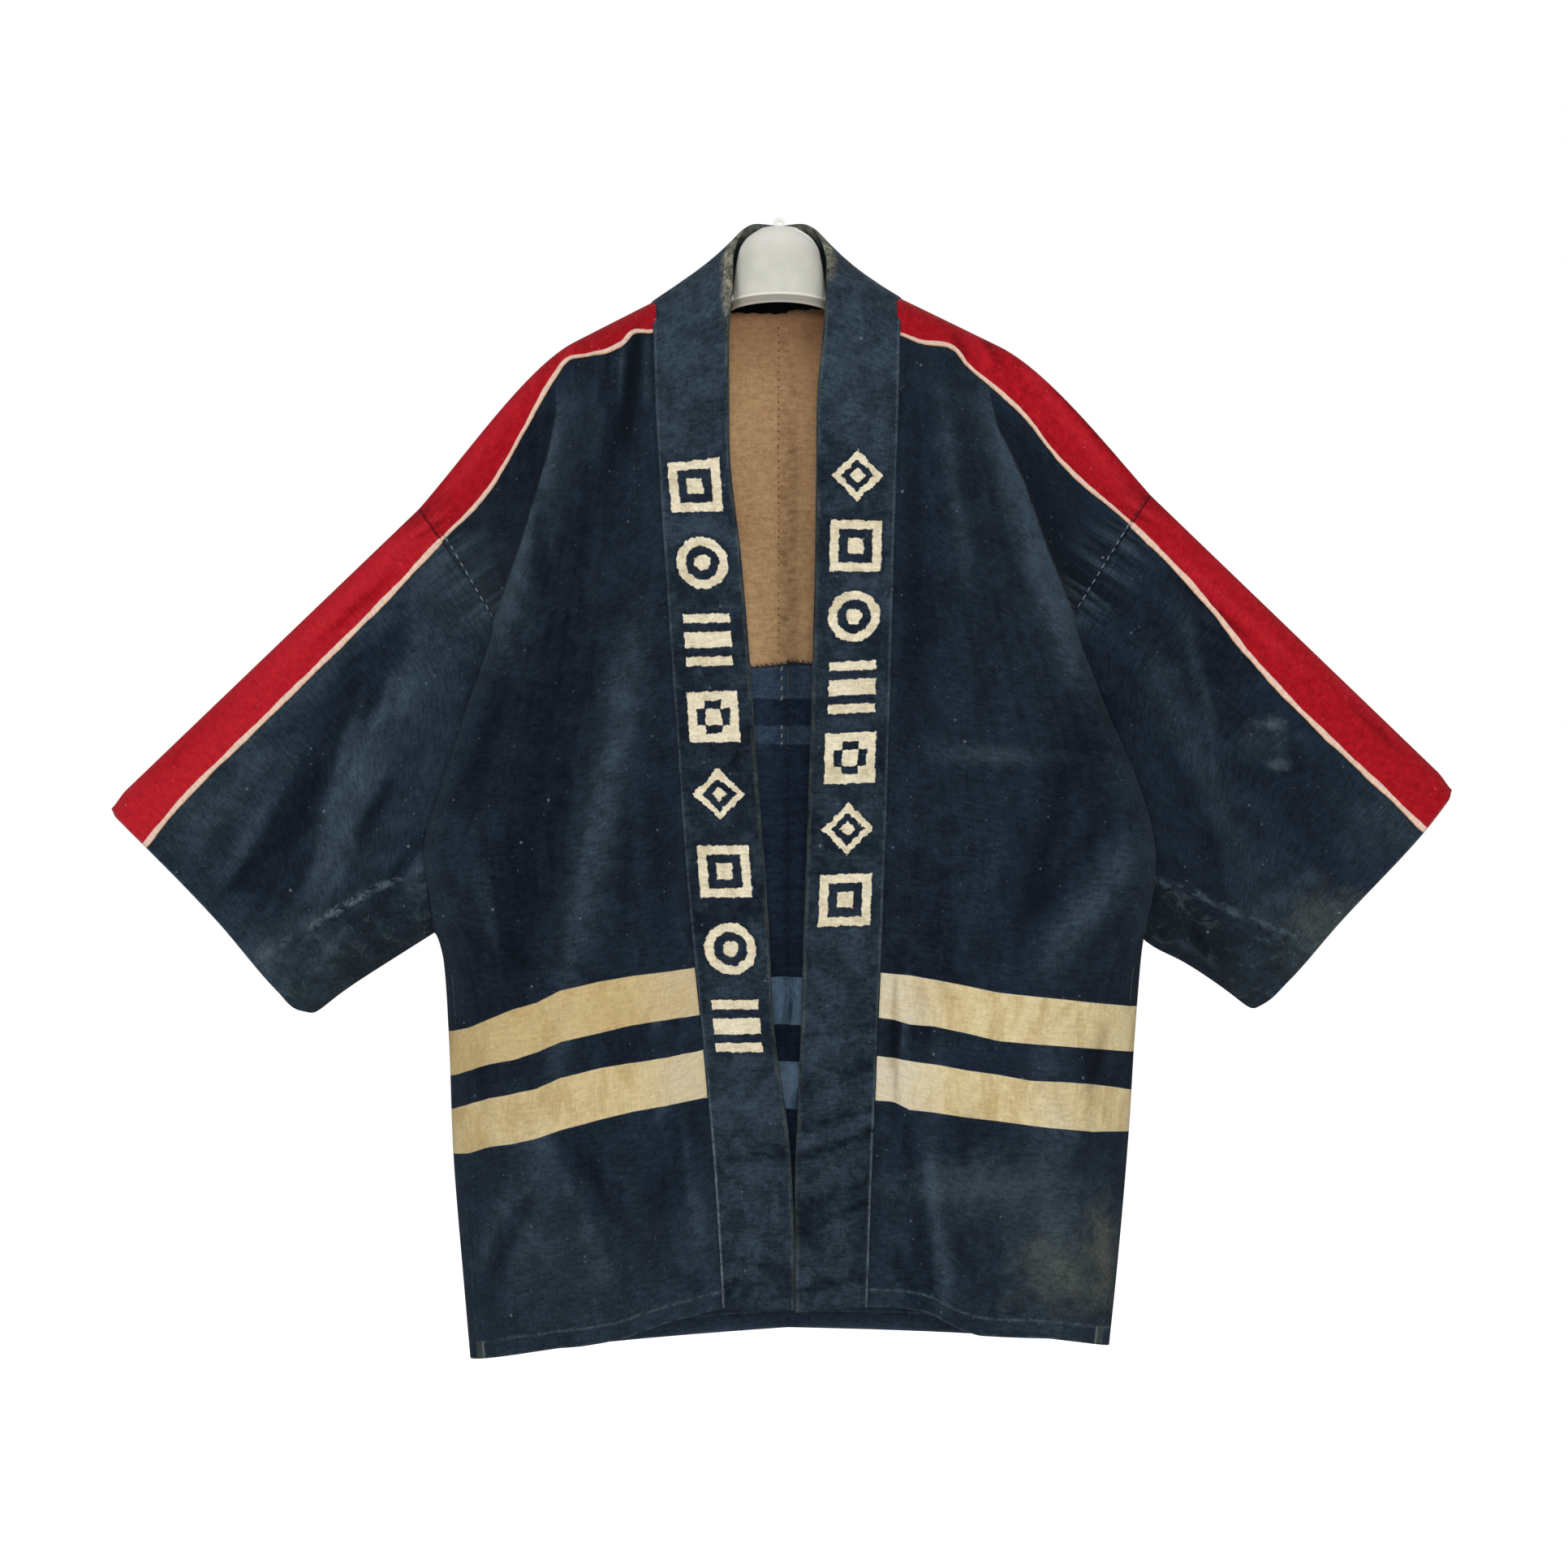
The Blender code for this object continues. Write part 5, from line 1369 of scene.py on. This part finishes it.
def band_wear(course, bulge, face_share, near_neck):
    """How the band lost dye and frayed, with light and shade painted on its creases and a painted shadow on
    its inner face behind the neck; face_share is 0 to 1 on its outside and 1 to 2 inside.
    """
    drop = course.drop
    behind = ease(0.017, 0.029, (course.seam + course.across)[:, 1])
    on_fold = ease(0.90, 0.96, face_share) * (1 - ease(1.04, 1.14, face_share))
    low_wear = np.where(course.left, 0.5, 0.3) * ease(660, 760, drop)
    return {
        "across": face_share,
        # The bulge paints light on the band's ridges and shade in its creases; the rest is the band's
        # fading.
        "fade": np.clip(0.12 + 0.35 * bulge + 0.45 * (1 - ease(90, 330, drop))[:, None]
                        + 0.14 * ease(540, 700, drop)[:, None], -1, 1),
        "olive": (near_neck * (1 - 0.75 * behind))[:, None] * on_fold,
        # Painted shadow on the inner face behind the neck, under the hanger's dome.
        "recess_shade": behind[:, None] * ease(1.0, 1.1, face_share),
        "seam_wear": np.where(course.front, 0.2 + low_wear, 0.3)[:, None],
        "fold_wear": np.where(course.front, 0.28, 0.6)[:, None],
    }


def make_collar():
    course = lay_band()
    seam, across = course.seam, course.across
    outward = unit(np.cross(np.gradient(seam + across / 2, axis=0), unit(across)))
    outward = outward * np.sign(outward[0, 1]) * -1
    share, beyond, height = band_section()
    reach = np.clip(share, 0, 1)[None, :]
    bulge = band_bulge(course, reach)
    edge_drop = -(seam + across)[:, 2] / MM
    near_neck = np.where(course.left, 1 - ease(50, 98, edge_drop), 1 - ease(26, 56, edge_drop))
    swell = 1 + 1.6 * near_neck[:, None] * (beyond > 0)[None, :]
    points = (seam[:, None] + across[:, None] * share[None, :, None]
              + unit(across)[:, None] * (beyond * swell)[..., None] * MM
              + outward[:, None] * (height[None, :] + bulge)[..., None] * MM)
    order = np.arange(len(share))[None, :]
    face_share = np.where(order < OUTER_COLUMNS + 3, share, 2 - share)
    marks = {**motif_marks(course, reach, order < OUTER_COLUMNS),
             **band_wear(course, bulge, face_share, near_neck)}
    columns = np.arange(len(share) + 1)[None, :] / len(share)
    roll = np.stack(np.broadcast_arrays(columns * BAND_ROUND, course.run[:, None]), axis=-1)
    collar = cut_cloth("collar_band", [{"points": points, "roll": roll, "marks": marks, "flip": False,
                                        "round": True}])
    work = bmesh.new()
    work.from_mesh(collar.data)
    bmesh.ops.holes_fill(work, edges=[e for e in work.edges if e.is_boundary])
    bmesh.ops.recalc_face_normals(work, faces=work.faces)
    work.to_mesh(collar.data)
    work.free()
    collar.data.materials.append(BAND_CLOTH)
    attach(collar, "root")
    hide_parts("collar")


make_collar()

# ---- Back lining --------------------------------------------------------------------------------
# A tan cotton lining inside the upper back, stitched down along its lower edge and puckered where
# it is caught to the centre-back seam.
LINING_THICK = 0.8
LINING_TOP, LINING_BOTTOM = 0.004, 0.339
LINING_RISE = 9.6      # how far it goes on up inside the collar
LINING_WIDTH = 2 / 3   # share of the back from the neck to the shoulder's tip
LINING_GAP = 0.4       # clear of the back's cloth
LINING_SLACK = 1.6     # and this much more where it hangs loose
LINING_LIFT = 2.4      # and this much more at its top
STRIP_HALF = 8         # the puckered strip over the centre-back seam


def lining_side(side):
    """How far across the back panel the lining reaches."""
    neck = shoulder_point(side)
    return neck + (1 - neck) * LINING_WIDTH


def strip_pucker(out, drop):
    """Small puckers across the strip, 7 or 8 mm apart, over slower ones."""
    small = np.sin(drop / 1.2 + 1.6 * np.sin(drop / 17) + 0.12 * out) * (0.5 + 0.3 * np.sin(drop / 31))
    return small + 0.55 * np.sin(drop / 3.9 + out / 5) + 0.4 * np.sin(drop / 9.1 - out / 6)


def lining_points(side, p, v):
    """Middle of the lining: the back panel's points, moved forward clear of its cloth."""
    held = np.maximum(v, LINING_TOP)
    points = panel(side, BACK, p, held)
    normal = unit(np.cross(points - panel(side, BACK, p + 0.01, held),
                           points - panel(side, BACK, p, held + 0.004)))
    normal = normal * -np.sign(normal[..., 1:2])
    out = points[..., 0] / MM
    drop = -points[..., 2] / MM
    from_middle = np.abs(out)
    strip = np.exp(-((out - CENTRE_SHIFT) / STRIP_HALF) ** 4)
    pucker = strip * strip_pucker(out, drop)
    wave = 0.8 * np.sin(out / 13 + drop / 31) + 0.6 * np.sin(out / 7 - drop / 45 + 2)
    loose = ease(0.006, 0.03, v) * (1 - ease(0.325, 0.338, v))
    above = np.clip(LINING_TOP - v, 0, None) * CLOTH_LENGTH * (1 - ease(40, 62, from_middle))
    above = above + 0.5 * np.sin(out / 1.9) * (above > 8)
    scallop = (1 - ease(0.0, 0.02, LINING_BOTTOM - v)) * 0.35 * np.sin(out / 1.5)
    clear = (CLOTH + LINING_THICK) / 2 + LINING_GAP
    rise = clear + loose * (LINING_SLACK + wave * (1 - strip)) + pucker * ease(0.02, 0.05, v) + scallop
    rise = rise + LINING_LIFT * (1 - ease(LINING_TOP, 0.02, v))
    up = np.array([0, -0.14, 0.99])
    return points + (normal * rise[..., None] + up * above[..., None]) * MM


def make_lining_cloth():
    made, r, shader = new_material("lining_cloth", Finish)
    place_on, roll = r.place(), r.roll()
    grain = r.group(COTTON_GRAIN, {"Vector": roll, "Pitch": 0.0009}).outputs
    mottle = r.group(DYE_MOTTLE, {"Vector": place_on}).outputs
    share = r.scaled(mottle["Blotch"], 0.4, r.times(mottle["Cloud"], 0.5))
    zones = r.step(r.noise(r.stretch(place_on, (26.0, 10.0, 5.0)), 1.0, 3.0, 0.6, 0.4), 0.3, 0.7)
    share = r.scaled(zones, 0.6, r.times(share, 0.5))
    worn = r.noise(r.stretch(place_on, (1.0, 1.0, 1.5)), 130.0, 5.0, 0.7, 0.6)
    bare = r.noise(r.stretch(place_on, (1.0, 1.0, 0.6)), 70.0, 4.0, 0.65, 0.8)
    pucker = r.mark("pucker")
    colour = r.coats(r.blend(share, (199, 154, 112), (243, 200, 147)),
                     (r.fall(worn, 0.36, 0.64, 0.36), (172, 130, 92)),
                     (r.step(bare, 0.50, 0.72, 0.0, 0.5), (246, 206, 154)),
                     (r.times(r.mark("strip"), 0.25), (168, 128, 92)),
                     # Painted light and shade of the puckers: darker in their troughs, lighter on their
                     # ridges.
                     (r.fall(pucker, -1.2, -0.2, 0.42), (130, 94, 66)),
                     (r.step(pucker, 0.2, 1.2, 0.0, 0.5), (230, 192, 152)),
                     # Painted shade: darker toward the top, under the collar, and toward the right-hand
                     # side.
                     (r.mark("painted_shading"), (150, 108, 76)),
                     (r.times(r.mark("low_edge"), 0.4), (112, 80, 54)))
    yarn = r.scaled(grain["Tone"], 0.42, 0.78)
    r.tint(shader, colour, yarn, grain["Tone"], (0.96, 0.85))
    shader["Specular IOR Level"].default_value = 0.25
    crumple = r.noise(r.stretch(place_on, (1.0, 1.0, 2.2)), 60.0, 4.0, 0.6, 0.3)
    r.relief(shader, crumple, 0.0018, grain["Height"], 0.7, 0.0002)
    return made


LINING_CLOTH = make_lining_cloth()


def make_lining():
    rows = np.linspace(LINING_TOP - LINING_RISE / CLOTH_LENGTH, LINING_BOTTOM, 290)
    sheets = {}
    for side in SIDES:
        v, p = grid(rows, np.concatenate([np.linspace(0, 0.09, 22),
                                          np.linspace(0.09, lining_side(side), 60)[1:]]))
        sheets[side] = (v, lining_points(side, p, v))
    centre = (sheets["left"][1][:, 0] + sheets["right"][1][:, 0]) / 2
    pieces = []
    for side, (v, points) in sheets.items():
        points[:, 0] = centre
        out, drop = points[..., 0] / MM, -points[..., 2] / MM
        strip = np.exp(-((out - CENTRE_SHIFT) / STRIP_HALF) ** 6)
        pieces.append({"points": points, "roll": np.stack([points[..., 0], points[..., 2]], axis=-1),
                       "flip": side == "left", "marks": {
            "strip": strip, "pucker": strip * strip_pucker(out * SIDES[side], drop),
            # Painted shade toward the top and the right-hand side
            "painted_shading": (0.5 * (1 - ease(60, 150, drop)) + 0.27 * (1 - ease(230, 360, drop))
                      + 0.24 * ease(16, 40, out)),
            "low_edge": 1 - ease(0.0, 0.006, LINING_BOTTOM - v)}})
    lining = cut_cloth("back_lining", pieces)
    give_thickness(lining, LINING_THICK, (LINING_CLOTH, LINING_CLOTH))
    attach(lining, "root")
    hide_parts("lining_left", "lining_right")


make_lining()

# ---- Hanger -------------------------------------------------------------------------------------
# Frosted plastic, moulded in one piece: a dome that fills the neck, an arched arm to each side, and
# a small eye on top. The dome's lower rim has a raised band.
ARM_REACH = 164
Arm = namedtuple("Arm", "out top bottom half")
ARMS = named(Arm, [
    (0, 40, 57, 10), (36, 57, 65, 6), (46, 58, 68, 11), (60, 64, 76, 13.5), (101, 77, 92, 12),
    (135, 92, 105, 9.5), (158, 104, 114, 7.5), (164, 107, 113, 5),
])
Dome = namedtuple("Dome", "drop half_width half_depth")
DOME = named(Dome, [
    (2.5, 4, 3.5), (3.6, 11.5, 9), (6, 17, 13), (11, 24.6, 17), (18, 30.2, 19.5), (30, 33.8, 21.5),
    (45, 36.4, 22.5), (61, 38.2, 23),
])
RIM_TOP, LIP_TOP, LIP_BOTTOM = 58, 59.8, 66
RIM_PROUD = 0.5
LIP_START, LIP_SLOPE = 59.4, 0.4      # below its rim the dome turns inward
RIM_BOW, LIP_BOW = 3.4, 0.8           # how far the ends of the rim and of its lip hang below the middle
RECESS_HALF = (38.7, 20.4)            # half width and half depth of the opening under the dome
EYE_RADIUS, EYE_HOLE, EYE_THICK = 4.2, 1.7, 3.4
RING_POINTS, EYE_POINTS = 96, 48
DOME_SQUARE, ARM_SQUARE = 2.15, 2.5   # 2 is an ellipse, more is squarer


def rounded(angle, power):
    """Points on a superellipse of half-size 1."""
    c, s = np.cos(angle), np.sin(angle)
    return np.sign(c) * np.abs(c) ** (2 / power), np.sign(s) * np.abs(s) ** (2 / power)


def loft(name, rings, looped=False):
    """Solid through rings of points in millimetres, closed by a flat at each end or on itself."""
    work = bmesh.new()
    made = [[work.verts.new([x * MM for x in point]) for point in ring] for ring in rings]
    count = len(made[0])
    for above, below in zip(made, made[1:] + made[:1] if looped else made[1:]):
        for j in range(count):
            k = (j + 1) % count
            work.faces.new((above[j], above[k], below[k], below[j]))
    if not looped:
        work.faces.new(made[0])
        work.faces.new(reversed(made[-1]))
    bmesh.ops.recalc_face_normals(work, faces=work.faces)
    data = bpy.data.meshes.new(name)
    work.to_mesh(data)
    work.free()
    return link(name, data)


def join(base, other):
    cut = base.modifiers.new("join", "BOOLEAN")
    cut.operation = "UNION"
    cut.solver = "EXACT"
    cut.object = other
    joined = bpy.data.meshes.new_from_object(base.evaluated_get(bpy.context.evaluated_depsgraph_get()))
    base.modifiers.clear()
    base.data = joined
    bpy.data.objects.remove(other)


def make_hanger_plastic():
    made, r, shader = new_material("hanger_plastic", Finish)
    place_on = r.place()
    parts = r.add("ShaderNodeSeparateXYZ", {"Vector": place_on}).outputs
    drop = r.times(parts["Z"], -1.0)
    cloud = r.step(r.noise(place_on, 60.0, 3.0, 0.5), 0.3, 0.7)
    colour = r.blend(cloud, (206, 206, 195), (216, 215, 204))
    bowed = r.math("POWER", r.size(parts["X"]), 2.0)
    level = r.scaled(bowed, -2.35, drop)
    # Painted highlight: the top of the dome and the eye are lighter.
    colour = r.blend(r.fall(drop, 0.003, 0.028, 0.95), colour, (246, 245, 236))
    # Painted light and shade round the rim: a highlight line along its top, shade on its lip below, and a
    # lighter band at the lip's lower edge.
    for start, end, painted_shading in ((0.0574, 0.0581, (238, 236, 224)), (0.0596, 0.0602, (163, 157, 145)),
                              (0.0640, 0.0654, (186, 180, 168))):
        colour = r.blend(r.step(level, start, end), colour, painted_shading)
    # Painted shadow: the underside within the rim, a recess 9 mm deep, is coloured near black as if a deeper
    # hollow lay there in shade.
    painted_hollow_shadow = r.add("ShaderNodeVectorMath", {0: place_on, 1: (0.0372, 0.0190, 1000.0)}, operation="DIVIDE")
    painted_hollow_shadow = r.add("ShaderNodeVectorMath", {0: painted_hollow_shadow.outputs[0]}, operation="LENGTH").outputs["Value"]
    painted_hollow_shadow = r.times(r.fall(painted_hollow_shadow, 0.95, 0.99), r.step(level, 0.0555, 0.0565))
    colour = r.blend(painted_hollow_shadow, colour, (34, 32, 30))
    r.feed(shader["Base Color"], colour)
    scuff = r.noise(r.stretch(place_on, (1.0, 1.0, 3.0)), 300.0, 3.0, 0.6)
    r.feed(shader["Roughness"], r.step(scuff, 0.3, 0.75, 0.42, 0.6))
    shader["Subsurface Weight"].default_value = 0.15
    shader["Subsurface Radius"].default_value = (0.004, 0.004, 0.003)
    fine = r.add("ShaderNodeBump", {"Strength": 0.5, "Distance": 0.0001, "Height": scuff})
    r.feed(shader["Normal"], fine.outputs[0])
    return made


def dome_rings(angles):
    """The dome from its top down to its lip, and its hollowed underside."""
    across, deep = rounded(angles, DOME_SQUARE)
    arch = np.abs(across) ** 2               # the rim bows down to its ends
    behind = 0.9 * np.clip(deep, 0, 1)       # and its lip runs out behind
    rings = []
    for drop in np.concatenate([np.linspace(2.5, 7, 16), np.linspace(8, 57.8, 34),
                                [58.2, 58.5, 59.0, 59.5, 59.8, 60.4, 62, 64, 65.6, LIP_BOTTOM]]):
        proud = RIM_PROUD * float(ease(RIM_TOP, RIM_TOP + 0.7, drop))
        tucked = proud - LIP_SLOPE * float(max(drop - LIP_START, 0))
        width = float(follow(DOME, "half_width", drop, "drop")) + proud
        depth = float(follow(DOME, "half_depth", drop, "drop")) + tucked
        bow = RIM_BOW * float(ease(46, 59, drop)) + LIP_BOW * float(ease(60, LIP_BOTTOM, drop))
        low = min(drop, LIP_TOP) + max(drop - LIP_TOP, 0) * (1 - behind)
        rings.append(np.stack([width * across, depth * deep, -low - bow * arch], axis=-1))
    low = LIP_TOP + (LIP_BOTTOM - LIP_TOP) * (1 - behind) + (RIM_BOW + LIP_BOW) * arch
    for inward, up in ((1.6, 0.1), (2.2, 0.8), (3.0, 9.0)):
        width, depth = [half - inward for half in RECESS_HALF]
        rings.append(np.stack([width * across, depth * deep, up - low], axis=-1))
    return rings


def arm_rings(angles):
    """Sections of the two arms, tip to tip."""
    deep, high = rounded(angles, ARM_SQUARE)
    rings = []
    for x in np.linspace(-ARM_REACH, ARM_REACH, 61):
        top, bottom, half = [float(follow(ARMS, key, abs(x), "out")) for key in ("top", "bottom", "half")]
        level = (bottom - top) / 2 * high - (top + bottom) / 2
        rings.append(np.stack([np.full(RING_POINTS, x), half * deep, level], axis=-1))
    return rings


def eye_rings():
    """Circles round the eye's hole, one for each corner of its section."""
    half = EYE_THICK / 2
    corners = [(EYE_RADIUS - 0.4, -half), (EYE_RADIUS, 0.4 - half), (EYE_RADIUS, half - 0.4),
               (EYE_RADIUS - 0.4, half), (EYE_HOLE + 0.3, half), (EYE_HOLE, half - 0.3),
               (EYE_HOLE, 0.3 - half), (EYE_HOLE + 0.3, -half)]
    turn = np.linspace(0, math.tau, EYE_POINTS, endpoint=False)
    return [np.stack([radius * np.cos(turn), np.full(EYE_POINTS, y), radius * np.sin(turn)], axis=-1)
            for radius, y in corners]


def make_hanger():
    angles = np.linspace(0, math.tau, RING_POINTS, endpoint=False)
    hanger = loft("hanger_body", dome_rings(angles))
    join(hanger, loft("arms", arm_rings(angles)))
    join(hanger, loft("eye", eye_rings(), looped=True))
    hanger.data.shade_smooth()
    hanger.data.set_sharp_from_angle(angle=math.radians(35))
    hanger.data.materials.clear()
    hanger.data.materials.append(make_hanger_plastic())
    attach(hanger, "root")
    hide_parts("hanger")


make_hanger()

# ---- Sewing -------------------------------------------------------------------------------------
# Hand stitches in heavy cotton thread: down the armholes, along the body's hems, along the lower
# edge of the lining and down its strip, and where the bars cross the centre back.


def make_stitch_tree():
    tree = bpy.data.node_groups.new("stitches", "GeometryNodeTree")
    face = tree.interface
    face.new_socket("Geometry", in_out="INPUT", socket_type="NodeSocketGeometry")
    for name in ("Pitch", "Stitch", "Thread", "Slant"):
        face.new_socket(name, in_out="INPUT", socket_type="NodeSocketFloat")
    face.new_socket("Seed", in_out="INPUT", socket_type="NodeSocketInt")
    face.new_socket("Finish", in_out="INPUT", socket_type="NodeSocketMaterial")
    face.new_socket("Geometry", in_out="OUTPUT", socket_type="NodeSocketGeometry")
    r = Finish(tree)
    given = r.add("NodeGroupInput").outputs
    line = r.add("GeometryNodeMeshToCurve", {"Mesh": given["Geometry"]}).outputs[0]
    spaced = r.add("GeometryNodeResampleCurve", {"Curve": line, "Length": given["Pitch"]}, mode="LENGTH")
    one = r.add("GeometryNodeMeshUVSphere", {"Segments": 6, "Rings": 5, "Radius": 0.5}).outputs[0]
    tangent = r.add("GeometryNodeInputTangent").outputs[0]
    aligned = r.add("FunctionNodeAlignRotationToVector", {"Vector": tangent}, axis="X").outputs[0]
    length, tilt = [r.add("FunctionNodeRandomValue", {2: least, 3: most, "Seed": given["Seed"]},
                          data_type="FLOAT").outputs[1] for least, most in ((0.75, 1.2), (-0.14, 0.14))]
    lean = r.plus(given["Slant"], tilt)
    turn = r.add("ShaderNodeCombineXYZ", {"Y": lean}).outputs[0]
    leaned = r.add("FunctionNodeRotateRotation", {"Rotation": aligned, "Rotate By": turn},
                   rotation_space="GLOBAL").outputs[0]
    long = r.times(given["Stitch"], length)
    size = r.add("ShaderNodeCombineXYZ", {"X": long, "Y": given["Thread"], "Z": given["Thread"]}).outputs[0]
    placed = r.add("GeometryNodeInstanceOnPoints", {"Points": spaced.outputs[0], "Instance": one,
                                                    "Rotation": leaned, "Scale": size}).outputs[0]
    solid = r.add("GeometryNodeRealizeInstances", {"Geometry": placed}).outputs[0]
    finished = r.add("GeometryNodeSetMaterial", {"Geometry": solid, "Material": given["Finish"]}).outputs[0]
    r.feed(r.add("NodeGroupOutput").inputs["Geometry"], finished)
    return tree


STITCHES = make_stitch_tree()


def thread(name, light, dark):
    """Twisted cotton thread."""
    made, r, shader = new_material(name, Finish)
    twist = r.noise(r.place(), 900.0, 2.0, 0.6)
    r.feed(shader["Base Color"], r.blend(r.step(twist, 0.3, 0.7), dark, light))
    r.feed(shader["Roughness"], r.step(twist, 0.2, 0.8, 0.95, 0.8))
    bump = r.add("ShaderNodeBump", {"Strength": 0.6, "Distance": 0.0002, "Height": twist})
    r.feed(shader["Normal"], bump.outputs[0])
    return made


WHITE_THREAD = thread("white_thread", (226, 222, 206), (178, 176, 164))
GREY_THREAD = thread("grey_thread", (134, 148, 162), (92, 106, 120))
RED_THREAD = thread("red_thread", (104, 12, 24), (70, 8, 18))
BLUE_THREAD = thread("blue_thread", (84, 98, 108), (44, 56, 68))
BROWN_THREAD = thread("brown_thread", (92, 62, 42), (56, 38, 28))


def sew(name, lines, finish, pitch, stitch, thick, slant=0.0, seed=1):
    """Stitches along lines of points, as one plain mesh."""
    verts, edges = [], []
    for line in lines:
        start = len(verts)
        verts += [tuple(point) for point in line]
        edges += [(k, k + 1) for k in range(start, len(verts) - 1)]
    data = bpy.data.meshes.new(name)
    data.from_pydata(verts, edges, [])
    seam = link(name, data)
    modifier = seam.modifiers.new("stitches", "NODES")
    modifier.node_group = STITCHES
    sockets = {item.name: item.identifier for item in STITCHES.interface.items_tree
               if item.in_out == "INPUT"}
    for key, value in (("Pitch", pitch * MM), ("Stitch", stitch * MM), ("Thread", thick * MM),
                       ("Slant", slant), ("Seed", seed), ("Finish", finish)):
        modifier[sockets[key]] = value
    made = bpy.data.meshes.new_from_object(seam.evaluated_get(bpy.context.evaluated_depsgraph_get()))
    seam.modifiers.clear()
    seam.data = made
    seam.data.shade_smooth()
    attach(seam, "root")
    return seam


def on_panel(side, face, u, v, proud=0.75):
    """Points just proud of a panel's outside."""
    step = 1e-3
    here = panel(side, face, u, v)
    across = panel(side, face, u + step, v) - panel(side, face, u - step, v)
    down = panel(side, face, u, v + step) - panel(side, face, u, v - step)
    normal = unit(np.cross(across, down))
    normal = normal * np.sign(normal[..., 1:2]) * face
    return here + normal * proud * MM


def sew_armholes():
    red, white = [], []
    for side in SIDES:
        for face in (FRONT, BACK):
            v = np.linspace(0.012, 0.262 if face == FRONT else 0.2, 120)
            u = np.full(120, {"left": 1.965, "right": 1.984}[side])
            out, drop, _ = panel_flat(side, face, u, v)
            below = along_line(STRIPE[side], out, drop)[0]
            points = on_panel(side, face, u, v)
            red.append(points[below < -0.002])
            white.append(points[below > 0.003])
    sew("armhole_red_stitches", [line for line in red if len(line) > 1], RED_THREAD,
        pitch=6.5, stitch=4.6, thick=1.1, seed=3)
    sew("armhole_white_stitches", [line for line in white if len(line) > 1], GREY_THREAD,
        pitch=7.2, stitch=5.6, thick=1.2, seed=4)


def sew_hems():
    hems = []
    for side in SIDES:
        for face in (FRONT, BACK):
            u = np.linspace(0.02, 1.0, 160)
            hems.append(on_panel(side, face, u, np.full(160, 1 - HEM_FOLD / CLOTH_LENGTH), 0.62))
    sew("hem_stitches", hems, BLUE_THREAD, pitch=7.0, stitch=2.6, thick=0.55, seed=7)


def sew_lining():
    edge = []
    for side in SIDES:
        p = np.linspace(0.0, lining_side(side), 140)
        v, p = grid([LINING_BOTTOM - 0.004, LINING_BOTTOM - 0.0005], p)
        points = lining_points(side, p, v)
        edge.append(points[1] + np.array([0, -0.6 * MM, 0]))
    sew("lining_stitches", edge, BROWN_THREAD, pitch=4.2, stitch=4.4, thick=0.9, slant=0.9, seed=11)
    v, p = grid(np.linspace(0.01, 0.33, 240), [0.0, 0.03])
    points = lining_points("right", p, v)
    strip = points[:, 0] + np.array([-STRIP_HALF * MM, -1.0 * MM, 0])
    sew("lining_cross_stitches", edge, BROWN_THREAD, pitch=6.3, stitch=4.0, thick=0.8, slant=-0.9,
        seed=14)
    sew("lining_strip_stitches", [strip], BROWN_THREAD, pitch=6.0, stitch=2.0, thick=0.8, seed=12)
    centre = []
    for top, bottom in ((BACK_BARS[0] + 2, BACK_BARS[1]), (BACK_BARS[2] + 1, BACK_BARS[3])):
        v = np.linspace(0.2, 0.6, 400)
        line = panel("right", BACK, np.zeros(400), v) + np.array([-5, -1.0, 0]) * MM
        drop = -line[:, 2] / MM
        centre.append(line[(drop > top) & (drop < bottom)])
    sew("centre_back_stitches", centre, WHITE_THREAD, pitch=6.4, stitch=4.6, thick=1.4, slant=0.25,
        seed=13)


sew_armholes()
sew_hems()
sew_lining()
